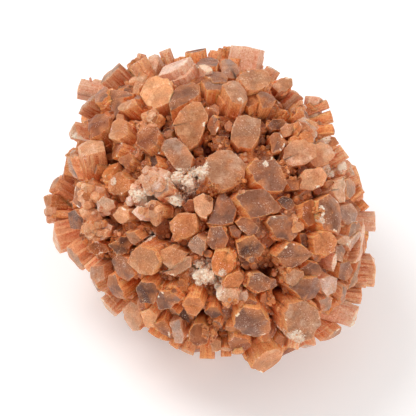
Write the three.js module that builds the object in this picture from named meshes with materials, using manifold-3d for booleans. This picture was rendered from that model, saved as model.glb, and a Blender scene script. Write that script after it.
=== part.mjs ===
// Aragonite "sputnik" cluster: stubby six-sided twinned prisms grown outwards from one centre, with flat
// ends, joined in one stone. It lies on a small flat spot where the lowest ends are worn level.
import * as THREE from "three";
import { mergeVertices } from "three/addons/utils/BufferGeometryUtils.js";
import Module from "manifold-3d";

const wasm = await Module();
wasm.setup();

// ---- driving dimensions, in millimetres and degrees
const HALF_LONG = 46.0; // half sizes of the rounded form that the crystal ends reach
const HALF_WIDE = 37.0;
const HALF_HIGH = 34.5;
const LONG_AXIS_YAW = -59; // the long axis lies level, turned this far from +X
const FACE_TURN = 40; // the best side of the cluster faces up and forward, this far from straight up
const FOOT_HEIGHT = 32.3; // from the growth centre down to the worn flat spot
const FOOT_WEAR = 1; // how much is worn off the crystal that points straight down
const BODY_SHARE = 0.87; // the solid body between the crystals, as a share of the rounded form
const BODY_DETAIL = 2; // subdivisions of the body's icosahedron
const ROOT_SHARE = 0.6; // how deep a crystal reaches, as a share of its distance from the centre
const LEAST_FACING = 0.25; // every end drawn by its outline faces forward at least this much
const MOST_FACING = 0.97; // and at most this much
const MOST_STRETCH = 1.3; // length of an end along its crystal's tilt, as a share of its width, at most
const HEXAGON_FLAT = Math.sin(Math.PI / 3); // half a hexagon's width across its flats, by its corner radius

// The best side is laid out on a grid of quarter millimetres, counted right and down, and seen square on.
const STEP = 0.25;
const FACE_CENTRE = [212, 206]; // the growth centre on that grid

// Crystals whose flat end shows on the best side: [how far out the end stands as a share of the rounded
// form, the corners of the end (right, down, right, down, ...), and where it matters the lean of its axis
// (right, up) as the two parts of a unit vector].
const FACE_CRYSTALS = [
  // upper left
  [1.0, [99, 83, 103, 76, 110, 68, 118, 61, 120, 63, 117, 69, 108, 78], [-0.66, 0.62]],
  [1.0, [93, 97, 99, 90, 104, 86, 107, 88, 106, 95, 101, 101, 95, 103]],
  [1.0, [77, 113, 80, 107, 88, 96, 92, 93, 92, 98, 86, 106, 79, 114], [-0.8, 0.45]],
  [0.98, [87, 119, 95, 113, 105, 113, 110, 118, 109, 127, 99, 135, 89, 138]],
  [1.0, [69, 125, 73, 121, 75, 124, 74, 138, 70, 139, 68, 132], [-0.9, 0.2]],
  [0.96, [106, 93, 112, 91, 125, 90, 131, 94, 125, 98, 117, 109, 111, 114]],
  [1.0, [116, 106, 120, 99, 127, 97, 134, 99, 136, 104, 128, 109, 119, 111]],
  [0.97, [140, 72, 148, 76, 146, 82, 138, 94, 132, 93, 133, 86]],
  [1.0, [148, 57, 153, 52, 157, 53, 158, 60, 153, 68, 149, 65], [-0.45, 0.7]],
  [1.0, [110, 122, 117, 117, 125, 120, 126, 134, 119, 141, 109, 138]],
  [1.0, [77, 142, 85, 138, 99, 136, 104, 141, 106, 151, 96, 154, 84, 156], [-0.15, 0.78]],
  [1.0, [66, 156, 70, 158, 76, 172, 79, 178, 74, 178, 69, 170], [-0.85, 0.2]],
  [1.0, [139, 93, 147, 79, 155, 76, 168, 78, 173, 90, 170, 104, 156, 110, 147, 105]],
  [0.97, [139, 132, 147, 127, 158, 127, 161, 134, 158, 146, 148, 152, 137, 145]],
  [0.96, [145, 113, 152, 110, 159, 114, 160, 121, 153, 125, 146, 121]],
  [0.99, [161, 150, 166, 140, 176, 138, 186, 147, 193, 157, 190, 169, 182, 175, 173, 166]],
  [0.97, [119, 160, 130, 153, 134, 160, 130, 170, 122, 166]],
  // top
  [1.0, [157, 74, 163, 66, 176, 58, 190, 55, 186, 62, 180, 68, 168, 73], [-0.45, 0.8]],
  [0.96, [195, 63, 200, 59, 212, 58, 220, 61, 216, 67, 198, 67]],
  [0.98, [221, 61, 230, 58, 237, 64, 240, 71, 237, 78, 228, 77, 222, 72]],
  [0.98, [205, 75, 212, 71, 222, 71, 228, 77, 226, 82, 214, 82]],
  [0.97, [201, 81, 208, 80, 222, 83, 227, 86, 220, 90, 207, 90]],
  [1.0, [222, 86, 228, 82, 239, 80, 247, 88, 249, 97, 241, 104, 232, 103]],
  [1.0, [237, 78, 243, 73, 252, 71, 264, 70, 271, 79, 268, 86, 258, 90, 249, 89]],
  [0.98, [257, 92, 264, 89, 272, 91, 277, 99, 273, 106, 264, 105]],
  [0.98, [169, 104, 171, 92, 180, 85, 192, 81, 200, 86, 199, 95, 190, 103, 171, 112]],
  [1.02, [191, 101, 201, 103, 208, 117, 206, 127, 198, 144, 189, 149, 178, 134, 172, 126, 180, 112]],
  [1.01, [232, 128, 236, 118, 247, 115, 260, 120, 259, 136, 251, 149, 238, 148, 231, 139]],
  // upper right
  [1.0, [272, 86, 279, 80, 286, 77, 292, 79, 293, 85, 286, 89, 278, 93]],
  [0.93, [267, 126, 272, 120, 282, 120, 286, 124, 280, 130, 271, 131]],
  [1.0, [292, 127, 296, 121, 306, 119, 316, 123, 319, 129, 310, 134, 298, 134]],
  [0.97, [269, 138, 273, 133, 280, 133, 285, 142, 281, 151, 272, 153]],
  [0.99, [283, 160, 284, 149, 292, 141, 303, 140, 314, 145, 315, 157, 305, 164, 291, 165]],
  [1.0, [312, 146, 320, 142, 331, 147, 334, 155, 328, 164, 317, 166, 311, 158]],
  [0.99, [308, 103, 314, 101, 324, 105, 327, 110, 318, 111]],
  [1.0, [322, 139, 328, 136, 335, 138, 339, 144, 333, 147, 325, 144]],
  [0.99, [299, 189, 299, 177, 304, 170, 321, 168, 326, 176, 323, 185, 311, 190]],
  [1.0, [330, 190, 336, 181, 343, 176, 345, 185, 344, 202, 339, 202]],
  [1.0, [345, 180, 350, 178, 355, 184, 355, 192, 349, 199, 345, 196]],
  // middle
  [1.02, [202, 171, 210, 154, 219, 148, 231, 147, 246, 165, 243, 178, 235, 186, 222, 190, 212, 183]],
  [1.01, [248, 167, 254, 161, 275, 160, 283, 173, 287, 183, 282, 190, 267, 191, 256, 182]],
  [1.01, [236, 197, 241, 191, 263, 189, 273, 196, 281, 207, 278, 212, 250, 218, 243, 208]],
  [0.98, [206, 222, 213, 210, 217, 195, 223, 191, 230, 199, 236, 209, 232, 222, 222, 225]],
  [1.0, [169, 222, 178, 213, 195, 213, 197, 225, 195, 233, 185, 238, 174, 240]],
  [1.0, [194, 199, 203, 193, 213, 200, 212, 210, 206, 218, 200, 216, 195, 211]],
  [0.99, [190, 239, 196, 235, 205, 241, 205, 251, 201, 256, 192, 252, 188, 245]],
  [0.97, [206, 243, 210, 227, 222, 226, 228, 238, 225, 247, 213, 250]],
  [0.98, [236, 222, 242, 217, 251, 219, 258, 227, 256, 233, 248, 235, 241, 230]],
  [1.0, [236, 242, 243, 238, 254, 236, 264, 249, 260, 256, 247, 260, 238, 254]],
  [1.0, [211, 261, 215, 251, 228, 250, 234, 258, 232, 270, 222, 277, 212, 272]],
  [1.0, [266, 222, 270, 216, 284, 215, 295, 220, 297, 234, 290, 241, 275, 237]],
  [1.01, [275, 256, 288, 242, 300, 245, 312, 254, 300, 263, 287, 269]],
  // right
  [1.01, [319, 200, 330, 193, 341, 202, 343, 216, 337, 231, 325, 229, 318, 213]],
  [0.99, [343, 206, 350, 203, 357, 212, 356, 221, 347, 225, 342, 216]],
  [0.96, [302, 203, 311, 199, 318, 206, 318, 221, 309, 226, 301, 217]],
  [1.01, [311, 238, 317, 231, 330, 232, 336, 240, 334, 250, 328, 254, 314, 252]],
  [1.0, [357, 262, 359, 247, 362, 231, 365, 220, 367, 228, 364, 247, 361, 260], [0.93, 0.1]],
  [1.0, [348, 289, 350, 280, 357, 268, 361, 257, 365, 258, 361, 272, 355, 284], [0.85, -0.15]],
  // lower right
  [1.03, [283, 312, 289, 304, 303, 300, 318, 310, 320, 324, 311, 338, 296, 341, 287, 331]],
  [1.01, [294, 288, 303, 279, 317, 276, 321, 288, 316, 298, 305, 302]],
  [0.99, [285, 272, 294, 268, 303, 272, 303, 281, 294, 287, 286, 283]],
  [0.98, [300, 268, 309, 261, 318, 264, 322, 272, 313, 277, 303, 277]],
  [1.0, [321, 281, 330, 276, 337, 278, 336, 291, 327, 296, 322, 290]],
  [0.99, [319, 301, 326, 296, 332, 298, 327, 310, 321, 310]],
  [1.01, [235, 316, 244, 308, 260, 309, 270, 321, 269, 331, 258, 340, 245, 337, 234, 328]],
  [0.99, [247, 284, 250, 273, 260, 271, 270, 278, 269, 287, 257, 291]],
  [1.0, [221, 284, 227, 275, 239, 270, 245, 276, 238, 289, 226, 289]],
  [1.0, [216, 294, 224, 288, 236, 289, 238, 297, 226, 303, 219, 300]],
  [1.0, [341, 327, 340, 333, 333, 341, 325, 345, 326, 340, 333, 331], [0.7, -0.6]],
  [1.02, [250, 366, 256, 357, 264, 351, 275, 348, 283, 351, 281, 359, 272, 366, 262, 371], [0.38, -0.76]],
  // lower left
  [0.99, [182, 304, 188, 297, 199, 297, 204, 305, 196, 315, 187, 312]],
  [0.96, [204, 313, 209, 306, 218, 306, 221, 313, 213, 320]],
  [0.99, [155, 302, 159, 291, 172, 290, 181, 299, 170, 308, 159, 309]],
  [0.99, [135, 290, 141, 281, 154, 282, 160, 291, 154, 303, 141, 302]],
  [0.99, [170, 322, 179, 319, 184, 336, 182, 342, 175, 342]],
  [0.99, [189, 331, 194, 323, 203, 323, 209, 331, 207, 343, 196, 346, 189, 340]],
  [0.98, [153, 323, 163, 320, 170, 327, 170, 338, 160, 337]],
  [0.97, [228, 340, 234, 334, 246, 337, 251, 345, 243, 351, 231, 349]],
  [1.0, [120, 311, 127, 305, 136, 309, 141, 320, 140, 330, 132, 331, 123, 321]],
  [0.98, [141, 311, 150, 308, 157, 315, 154, 327, 146, 327]],
  [1.0, [100, 299, 104, 300, 113, 309, 118, 314, 115, 316, 107, 309], [-0.7, -0.62]],
  [1.0, [91, 276, 94, 279, 99, 291, 97, 293, 92, 284], [-0.88, -0.38]],
  [1.0, [107, 277, 113, 276, 124, 290, 124, 301, 116, 299, 108, 286]],
  [0.98, [112, 260, 117, 254, 127, 258, 136, 274, 129, 280, 119, 275]],
  [1.01, [127, 262, 132, 251, 142, 246, 155, 250, 160, 261, 153, 274, 139, 273]],
  [0.95, [109, 244, 118, 238, 128, 235, 133, 242, 128, 253, 118, 255]],
  [0.97, [87, 248, 97, 240, 107, 244, 110, 251, 97, 255]],
  [0.99, [91, 267, 103, 266, 105, 278, 97, 283, 91, 277]],
  [1.0, [65, 248, 70, 249, 78, 256, 84, 267, 82, 271, 76, 268, 68, 258], [-0.72, -0.52]],
  [1.0, [48, 222, 51, 224, 56, 236, 60, 250, 59, 254, 55, 248, 50, 236], [-0.92, -0.28]],
  [0.98, [160, 250, 172, 246, 188, 253, 182, 262, 169, 269, 163, 262]],
  [0.96, [159, 272, 174, 266, 186, 256, 192, 256, 190, 267, 176, 275]],
  // left
  [1.0, [42, 197, 46, 194, 50, 195, 50, 208, 48, 211, 44, 209], [-0.85, 0.0]],
  [1.0, [46, 190, 50, 182, 57, 176, 58, 177, 53, 187, 48, 191], [-0.8, 0.5]],
  [0.93, [68, 213, 75, 209, 82, 218, 82, 230, 71, 229]],
  [0.98, [76, 182, 86, 185, 101, 188, 103, 199, 92, 207, 84, 200]],
  [1.0, [106, 184, 112, 175, 122, 172, 130, 180, 130, 189, 119, 196, 108, 192]],
  [1.0, [98, 202, 104, 196, 114, 201, 116, 207, 108, 211]],
  [1.0, [113, 216, 120, 207, 129, 211, 130, 219, 120, 224]],
  [0.98, [79, 210, 88, 205, 98, 210, 104, 219, 94, 222, 85, 221]],
  [0.99, [87, 223, 103, 220, 113, 226, 110, 236, 100, 240, 91, 234]],
  [0.99, [146, 204, 156, 200, 163, 206, 162, 214, 153, 219, 146, 213]],
  [1.0, [145, 183, 148, 168, 156, 165, 167, 170, 169, 190, 157, 198]],
];

// Crystals that point sideways round the rim of the best side, each with its end seen edge-on: [from
// right, down, to right, down, thickness towards the viewer, how far forward it stands as a share of the
// rounded form]. The crystal points to the left of the line from its first end to its second.
const RIM_CRYSTALS = [
  // left, going up
  [76, 99, 80, 78, 20, 0.98],
  [129, 67, 146, 57, 20, 1.03],
  [137, 52, 148, 55, 14, 0.98],
  // top, going right
  [159, 51, 170, 47, 14, 0.98],
  [184, 51, 206, 48, 20, 0.99],
  [209, 49, 223, 53, 12, 0.99],
  [231, 43, 266, 51, 26, 1.0],
  [267, 64, 281, 73, 14, 1.0],
  [294, 87, 304, 99, 12, 0.97],
  [305, 95, 324, 98, 16, 1.0],
  [326, 99, 330, 109, 14, 0.98],
  // right, going down
  [330, 110, 334, 122, 12, 0.99],
  [334, 124, 335, 136, 10, 0.99],
  [339, 144, 348, 158, 14, 0.99],
  [349, 163, 355, 177, 12, 0.99],
  [357, 183, 365, 192, 13, 0.99],
  [362, 199, 369, 207, 12, 0.97],
  [375, 211, 375, 233, 18, 0.98],
  [376, 252, 374, 288, 30, 0.98],
  [362, 288, 360, 304, 18, 1.0],
  [359, 306, 352, 328, 16, 1.0],
  // bottom, going left
  [316, 345, 300, 348, 18, 0.98],
  [298, 349, 283, 347, 16, 0.98],
  [244, 353, 231, 353, 14, 0.99],
  [231, 355, 219, 355, 12, 0.97],
  [215, 358, 199, 357, 14, 0.99],
  [194, 355, 180, 350, 13, 0.98],
  [178, 349, 168, 342, 12, 0.97],
  [165, 341, 148, 331, 15, 0.98],
];

// Crystals that fill the far side, large ones first: [how many places are tried, least and most width,
// how far out at least and at most, room kept from its neighbours as a share of both widths].
const FILL_CLASSES = [
  [220, 8.8, 11.5, 0.97, 1.03, 0.88],
  [260, 6.2, 8, 0.95, 1.01, 0.94],
];
const FILL_FACING = -0.03; // only places that face away from the viewer are filled
const RIM_WINDOW = 8; // degrees either way in which the rim's reach is looked up
const RIM_INSET = 0.6; // the filling crystals stay this far inside the rim
const GOLDEN_ANGLE = Math.PI * (3 - Math.sqrt(5));
const FOOT_CRYSTAL_WIDTH = 10; // across the crystal that points straight down
const RIM_SEED = 1000; // first numbers of the chances of each kind of crystal
const FOOT_SEED = 2000;
const FILL_SEED = 3000;

const degrees = THREE.MathUtils.degToRad;

// A fixed number from 0 to 1 for a pair of whole numbers, so that every run grows the same cluster.
function chance(index, channel) {
  let h = (Math.imul(index + 1, 0x9e3779b1) ^ Math.imul(channel + 1, 0x85ebca6b)) >>> 0;
  h = Math.imul(h ^ (h >>> 15), 0x2c1b3c6d) >>> 0;
  h = Math.imul(h ^ (h >>> 12), 0x297a2d39) >>> 0;
  return ((h ^ (h >>> 15)) >>> 0) / 4294967296;
}
const between = (low, high, share) => low + (high - low) * share;

// ---- the rounded form, in the frame of the best side: x right, y up, z towards the viewer
const standing = new THREE.Matrix4().makeRotationX(degrees(FACE_TURN)); // that frame to the part's frame
const toUnitBall = new THREE.Matrix4()
  .makeScale(1 / HALF_LONG, 1 / HALF_WIDE, 1 / HALF_HIGH)
  .multiply(new THREE.Matrix4().makeRotationZ(degrees(-LONG_AXIS_YAW)))
  .multiply(standing);

// The point above a place on the best side where the rounded form, grown to a share of itself, is met.
function pointOnForm(x, y, share) {
  const flat = new THREE.Vector3(x, y, 0).applyMatrix4(toUnitBall);
  const towards = new THREE.Vector3(0, 0, 1).applyMatrix4(toUnitBall);
  const half = flat.dot(towards);
  const square = towards.lengthSq();
  const inside = half * half - square * (flat.lengthSq() - share * share);
  return new THREE.Vector3(x, y, (-half + Math.sqrt(Math.max(0, inside))) / square);
}

function normalAt(point) {
  return point.clone().applyMatrix4(toUnitBall).transformDirection(toUnitBall.clone().transpose());
}

// Crystals point away from the centre, drawn halfway to the rounded form's own outward direction.
const outwardAt = (point) => point.clone().normalize().add(normalAt(point)).normalize();

const gridPlace = (right, down) => [(right - FACE_CENTRE[0]) * STEP, (FACE_CENTRE[1] - down) * STEP];

// ---- one crystal: its end's middle, its axis and the corners of its end in the plane of the end
// A crystal's tilt is what its end shows: an end that looks round can't be tilted far.
function easeTilt(axis, offsets) {
  const tilt = new THREE.Vector2(axis.x, axis.y).normalize();
  const along = offsets.map(([x, y]) => x * tilt.x + y * tilt.y);
  const across = offsets.map(([x, y]) => x * tilt.y - y * tilt.x);
  const spread = (values) => Math.max(...values) - Math.min(...values);
  const least = Math.max(LEAST_FACING, spread(along) / spread(across) / MOST_STRETCH);
  const facing = Math.min(MOST_FACING, Math.max(axis.z, least));
  const level = Math.sqrt(1 - facing * facing);
  return new THREE.Vector3(tilt.x * level, tilt.y * level, facing);
}

function crystalFromOutline([out, corners, lean]) {
  const places = [];
  for (let i = 0; i < corners.length; i += 2) places.push(gridPlace(corners[i], corners[i + 1]));
  const middle = [0, 1].map((k) => places.reduce((sum, p) => sum + p[k], 0) / places.length);
  const tip = pointOnForm(...middle, out);
  const offsets = places.map(([x, y]) => [x - tip.x, y - tip.y]);
  const axis = lean
    ? new THREE.Vector3(...lean, Math.sqrt(1 - lean[0] ** 2 - lean[1] ** 2))
    : easeTilt(outwardAt(tip), offsets);
  const side = new THREE.Vector3(1, 0, 0).projectOnPlane(axis).normalize();
  const up = axis.clone().cross(side);
  const outline = offsets.map(([x, y]) => {
    const offset = new THREE.Vector3(x, y, -(x * axis.x + y * axis.y) / axis.z);
    return [offset.dot(side), offset.dot(up)];
  });
  return { tip, axis, side, up, outline };
}

// A six-sided end with slightly uneven corners.
function sixSidedEnd(width, depth, seed) {
  return Array.from({ length: 6 }, (_, k) => {
    const angle = degrees(60 * k + between(-9, 9, chance(seed, 10 + k)));
    const reach = between(0.9, 1.06, chance(seed, 20 + k));
    return [(Math.cos(angle) * reach * width) / 2, (Math.sin(angle) * reach * depth) / 2 / HEXAGON_FLAT];
  });
}

function crystalFromSize(tip, axis, across, width, depth, seed) {
  const side = across.clone().projectOnPlane(axis).normalize();
  const up = axis.clone().cross(side);
  return { tip, axis, side, up, outline: sixSidedEnd(width, depth, seed) };
}

function rimCrystal([right0, down0, right1, down1, depth, out], index) {
  const [x0, y0] = gridPlace(right0, down0);
  const [x1, y1] = gridPlace(right1, down1);
  const tip = pointOnForm((x0 + x1) / 2, (y0 + y1) / 2, out);
  const edge = new THREE.Vector3(x1 - x0, y1 - y0, 0);
  const axis = new THREE.Vector3(-edge.y, edge.x, 0).normalize();
  return crystalFromSize(tip, axis, edge, edge.length(), depth * STEP, RIM_SEED + index);
}

function footCrystal() {
  const down = new THREE.Vector3(0, 0, -1).transformDirection(standing.clone().invert());
  const tip = down.clone().multiplyScalar(FOOT_HEIGHT + FOOT_WEAR);
  const across = new THREE.Vector3(1, 0, 0);
  return crystalFromSize(tip, down, across, FOOT_CRYSTAL_WIDTH, FOOT_CRYSTAL_WIDTH, FOOT_SEED);
}

const widthOf = (crystal) =>
  (2 * crystal.outline.reduce((sum, [x, y]) => sum + Math.hypot(x, y), 0)) / crystal.outline.length;

// How far the rim of the best side reaches from the centre, in the direction of a place behind it.
function rimOf(crystals) {
  const rim = crystals.map(({ tip }) => [Math.atan2(tip.y, tip.x), Math.hypot(tip.x, tip.y)]);
  return (place) => {
    const heading = Math.atan2(place.y, place.x);
    const near = rim.filter(([angle]) => Math.cos(angle - heading) > Math.cos(degrees(RIM_WINDOW)));
    return Math.max(...near.map(([, reach]) => reach)) - RIM_INSET;
  };
}

// Places spread evenly over the form, each kept if it stays clear of the crystals already there.
function fillCrystals(grown) {
  const rimReach = rimOf(grown);
  FILL_CLASSES.forEach(([tries, least, most, low, high, spacing], grade) => {
    for (let i = 0; i < tries; i += 1) {
      const seed = FILL_SEED * (grade + 1) + i;
      const height = 1 - (2 * (i + chance(seed, 0))) / tries;
      const around = i * GOLDEN_ANGLE + between(-0.4, 0.4, chance(seed, 1));
      const ring = Math.sqrt(Math.max(0, 1 - height * height));
      const tip = new THREE.Vector3(ring * Math.cos(around), ring * Math.sin(around), height);
      const formShare = between(low, high, chance(seed, 2));
      tip.multiplyScalar(formShare / tip.clone().applyMatrix4(toUnitBall).length());
      const width = between(least, most, chance(seed, 3));
      const room = rimReach(tip) - (width / 2) * Math.abs(tip.z / tip.length());
      tip.multiplyScalar(Math.min(1, room / Math.hypot(tip.x, tip.y)));
      const clear = grown.every((c) => c.tip.distanceTo(tip) > (spacing * (widthOf(c) + width)) / 2);
      if (normalAt(tip).z > FILL_FACING || !clear) continue;
      const depth = width * between(0.72, 0.98, chance(seed, 4));
      const sway = [5, 6, 7].map((channel) => between(-0.16, 0.16, chance(seed, channel)));
      const axis = outwardAt(tip).add(new THREE.Vector3(...sway)).normalize();
      const turn = 2 * Math.PI * chance(seed, 8);
      const across = new THREE.Vector3(Math.cos(turn), Math.sin(turn), 0);
      grown.push(crystalFromSize(tip, axis, across, width, depth, seed));
    }
  });
  return grown;
}

// ---- solids
function solidOf(geometry) {
  geometry.deleteAttribute("normal");
  geometry.deleteAttribute("uv");
  const merged = mergeVertices(geometry, 1e-4);
  return new wasm.Manifold(
    new wasm.Mesh({
      numProp: 3,
      vertProperties: merged.attributes.position.array,
      triVerts: new Uint32Array(merged.index.array),
    }),
  );
}

function crystalSolid({ tip, axis, side, up, outline }) {
  const length = tip.length() * ROOT_SHARE;
  const shape = new THREE.Shape(outline.map(([x, y]) => new THREE.Vector2(x, y)));
  const prism = new THREE.ExtrudeGeometry(shape, { depth: length, bevelEnabled: false });
  const root = tip.clone().addScaledVector(axis, -length);
  return solidOf(prism.applyMatrix4(new THREE.Matrix4().makeBasis(side, up, axis).setPosition(root)));
}

function bodySolid() {
  const ball = new THREE.IcosahedronGeometry(BODY_SHARE, BODY_DETAIL);
  return solidOf(ball.applyMatrix4(toUnitBall.clone().invert()));
}

function clusterGeometry() {
  const crystals = fillCrystals([
    footCrystal(),
    ...FACE_CRYSTALS.map(crystalFromOutline),
    ...RIM_CRYSTALS.map(rimCrystal),
  ]);
  const room = 4 * HALF_LONG;
  const floor = new THREE.BoxGeometry(room, room, room).translate(0, 0, -room / 2 - FOOT_HEIGHT);
  const joined = crystals.reduce((stone, crystal) => stone.add(crystalSolid(crystal)), bodySolid());
  const grown = joined.getMesh();
  const rough = new THREE.BufferGeometry()
    .setAttribute("position", new THREE.BufferAttribute(grown.vertProperties, 3))
    .setIndex(new THREE.BufferAttribute(grown.triVerts, 1))
    .applyMatrix4(standing);
  const stone = solidOf(rough).subtract(solidOf(floor)).getMesh();
  const geometry = new THREE.BufferGeometry()
    .setAttribute("position", new THREE.BufferAttribute(stone.vertProperties, 3))
    .setIndex(new THREE.BufferAttribute(stone.triVerts, 1));
  geometry.computeBoundingBox();
  const { min, max } = geometry.boundingBox;
  geometry.translate(-(min.x + max.x) / 2, -(min.y + max.y) / 2, -min.z);
  geometry.computeVertexNormals();
  return geometry;
}

// ---- the part
const aragonite = new THREE.MeshStandardMaterial({
  color: 0xb97c5b,
  roughness: 0.5,
  metalness: 0,
  flatShading: true,
});
const cluster = new THREE.Mesh(clusterGeometry(), aragonite);
cluster.name = "crystal_cluster";

const part = new THREE.Group();
part.add(cluster);
export default part;
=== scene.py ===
"""Aragonite sputnik cluster: twinned crystals, side growth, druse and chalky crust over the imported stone."""

import math

import bmesh
import bpy
import numpy as np
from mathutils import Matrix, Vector
from mathutils.bvhtree import BVHTree
from mathutils.kdtree import KDTree


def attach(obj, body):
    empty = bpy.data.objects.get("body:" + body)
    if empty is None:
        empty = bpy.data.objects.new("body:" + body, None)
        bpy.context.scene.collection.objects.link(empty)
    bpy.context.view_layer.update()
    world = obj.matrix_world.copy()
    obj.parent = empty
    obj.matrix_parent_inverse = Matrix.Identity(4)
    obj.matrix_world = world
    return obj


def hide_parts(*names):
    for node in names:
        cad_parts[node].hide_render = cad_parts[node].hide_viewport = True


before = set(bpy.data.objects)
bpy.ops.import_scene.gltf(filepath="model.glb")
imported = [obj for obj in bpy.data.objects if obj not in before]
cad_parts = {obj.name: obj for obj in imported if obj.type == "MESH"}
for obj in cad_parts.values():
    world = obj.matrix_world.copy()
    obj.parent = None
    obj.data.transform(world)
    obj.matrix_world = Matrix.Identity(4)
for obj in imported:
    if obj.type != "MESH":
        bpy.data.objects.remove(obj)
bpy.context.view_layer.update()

bl_info = {
    "name": "Aragonite Cluster",
    "version": (1, 0, 0),
    "blender": (4, 5, 0),
    "location": "3D View > Sidebar > Aragonite",
    "description": "Grows the crystals, druse and crust of an aragonite sputnik cluster",
    "category": "Object",
}

NODE = "crystal_cluster"
BODY = "root"
MM = 0.001
GOLDEN_ANGLE = math.pi * (3 - math.sqrt(5))
HEXAGON_FLAT = math.sin(math.radians(60))

# ---- the rounded form that the crystal ends reach, in millimetres and degrees, as the solid has it
HALF_SIZES = (46.0, 37.0, 34.5)
LONG_AXIS_YAW = -59
FACE_TURN = 40
FOOT_HEIGHT = 32.3
FOOT_WEAR = 1
FOOT_CRYSTAL_WIDTH = 10
GROWTH_CENTRE = np.array([0.7605, 0.1601, FOOT_HEIGHT])

# The grid that gives places on the best side: its step in millimetres, then the growth centre and the middle
# of the view, both as right and down.
STEP = 0.25
FACE_CENTRE = (212, 206)
VIEW_CENTRE = (208, 208)

# How the ends lean: sideways by chance, how little and how much they face the viewer, how far they draw out.
SWAY = 0.14
LEAST_FACING = 0.25
MOST_FACING = 0.97
MOST_STRETCH = 1.3

# Far side, coarse and fine: places tried, least and most width, least and most share of the form, spacing.
# Its crystals stay RIM_INSET inside what the rim's crystals reach within RIM_WINDOW degrees of them.
FILL_CLASSES = [(220, 8.8, 11.5, 0.97, 1.03, 0.88), (260, 6.2, 8, 0.95, 1.01, 0.94)]
FILL_FACING = -0.03
FILL_KINDS = "TMOLTPMRTB"
RIM_WINDOW = 8
RIM_INSET = 0.6

# Side growth, gap crystals, druse, knobs and crust. Shares are of the rounded form, lengths in millimetres.
# RIM_OPENNESS is added to the shares of the rim's crystals, so that the painted crevice shade darkens them
# less.
LEAST_PARENT_WIDTH = 4.5
SIDE_KINDS = "ORMRTO"
SIDE_DEPTHS = (2.2, 7)
SHOWN_SIDE_DEPTHS = (5, 8)
GAP_TRIES = 14000
GAP_SHARE = 0.93
GAP_KINDS = "OTMRTMODTRLM"
GAP_WIDTHS = (1.6, 6.5)
LOW_GAP_SHARES = (0.82, 0.9)
HIGH_GAP_SHARES = (0.91, 0.955)
HIGH_GAP_PART = 0.22
LEAST_GAP = 0.5
LEAST_HEIGHT = 1.5
DRUSE_SHARE = 0.9
DRUSE_WIDTHS = (0.5, 1.5)
DRUSE_KINDS = "ORRMTOLD"
FAR_KNOB_COUNT = 26
FAR_KNOB_KINDS = "PORLORWDR"
FAR_KNOB_DENSITY = 4
OTHER_KNOB_KINDS = "ROLT"
KNOB_HEIGHT = 0.9
FAR_CRUST_COUNT = 12
FAR_CRUST_DENSITY = 18
CRUST_DENSITY = 1.6
GRAIN_RADII = (0.09, 0.33)
PATCH_SHARE = 0.97
RIM_OPENNESS = 0.08

# What lies within reach of a shown end, not far below it and over its outline would hide it.
HIDING_REACH = 9
HIDING_DEPTH = 0.4
HIDING_OVERLAP = 0.35

# How far outside the form the lines that look for the surface start, as a share of it.
FORM_START = 1.2
SPOT_START = 1.3

# Mesh of a crystal: steps along its outline, depths of its rows, width of its rings. Crystals narrower than
# RELIEF_WIDTH have shallower relief, and each reaches ROOT_SHARE of the way to the growth centre.
ARC_STEP = 0.3
SIDE_DROPS = (0.5, 1.3, 2.6, 4.5, 7.0)
RING_WIDTH = 0.5
MOST_RINGS = 11
RELIEF_WIDTH = 5
LEDGE_WIDTH = 4
ROOT_SHARE = 0.42
TINY_ROOT = 0.6
SHARP_ANGLE = 32
STONE_SHARP_ANGLE = 60
GRAIN_SHARP_ANGLE = 25

# Crystals that show less have coarser meshes; those in gaps are short too.
FAR_MESH = {"spacing": 0.6, "coarse": 1.3}
SIDE_MESH = {"spacing": 0.8, "coarse": 1.5}
GAP_MESH = {"spacing": 1.0, "coarse": 2.0, "length": 7}

# Where the seeds of each group's chances start.
SMALL_FACE_SEED = 200
SMALL_ROUND_SEED = 300
RIM_SEED = 1000
SMALL_RIM_SEED = 1100
FOOT_SEED = 2000
FILL_SEED = 3000
SIDE_SEED = 5000
SIDE_SEED_STEP = 37
GAP_SEED = 20000
DRUSE_SEED = 60000
KNOB_SEED = 70000
CRUST_SEED = 90000
PATCH_SEED_STEP = 500

# Lamps, each with its direction from the growth centre as the best side has it, its width in metres and its
# watts, then how far away they stand, the sky, and the floor's radius, sides and glow.
LAMPS = [("key_upper_left", (-0.45, 0.71, 0.56), 0.5, 3.7), ("side_right", (0.68, -0.14, 0.7), 0.4, 1.6)]
LAMP_DISTANCE = 0.9
SKY_STRENGTH = 0.62
FLOOR_RADIUS = 4
FLOOR_SIDES = 64
FLOOR_GLOW = 0.25
SENSOR_WIDTH = 36
CAMERA_RANGE = (0.05, 20)

# ---- kinds of crystal end: the title, words and colour of each letter
KIND_COLOURS = {
    "M": ("Mauve end", "Ends of grey mauve crystals", (0.285, 0.114, 0.060)),
    "T": ("Tan end", "Ends of tan crystals", (0.500, 0.224, 0.107)),
    "O": ("Orange end", "Ends of orange crystals", (0.585, 0.190, 0.055)),
    "L": ("Light orange end", "Ends of light orange crystals", (0.680, 0.336, 0.172)),
    "P": ("Peach end", "Ends of pale peach crystals", (0.650, 0.405, 0.283)),
    "W": ("Whitish end", "Ends of whitish crystals", (0.890, 0.595, 0.460)),
    "B": ("Beige end", "Ends of beige grey crystals", (0.418, 0.219, 0.135)),
    "D": ("Dark end", "Ends of dark grey brown crystals", (0.124, 0.040, 0.018)),
    "S": ("Striped end", "Ends of pale crystals with bold stripes", (0.82, 0.49, 0.32)),
    "G": ("Grey striped end", "Ends of beige grey crystals with bold stripes", (0.418, 0.219, 0.135)),
    "R": ("Red brown end", "Ends of red brown crystals", (0.290, 0.073, 0.018)),
}

# How pale each kind's flanks are, and how strong its stripes are where that isn't set by chance.
FLANK_PALENESS = {"P": 1.0, "W": 1.6, "S": 1.0, "G": 1.0, "L": 0.35, "B": 0.6, "T": 0.1}
STRIPE_STRENGTH = {"S": 1.4, "G": 1.3, "W": -0.3}

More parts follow.
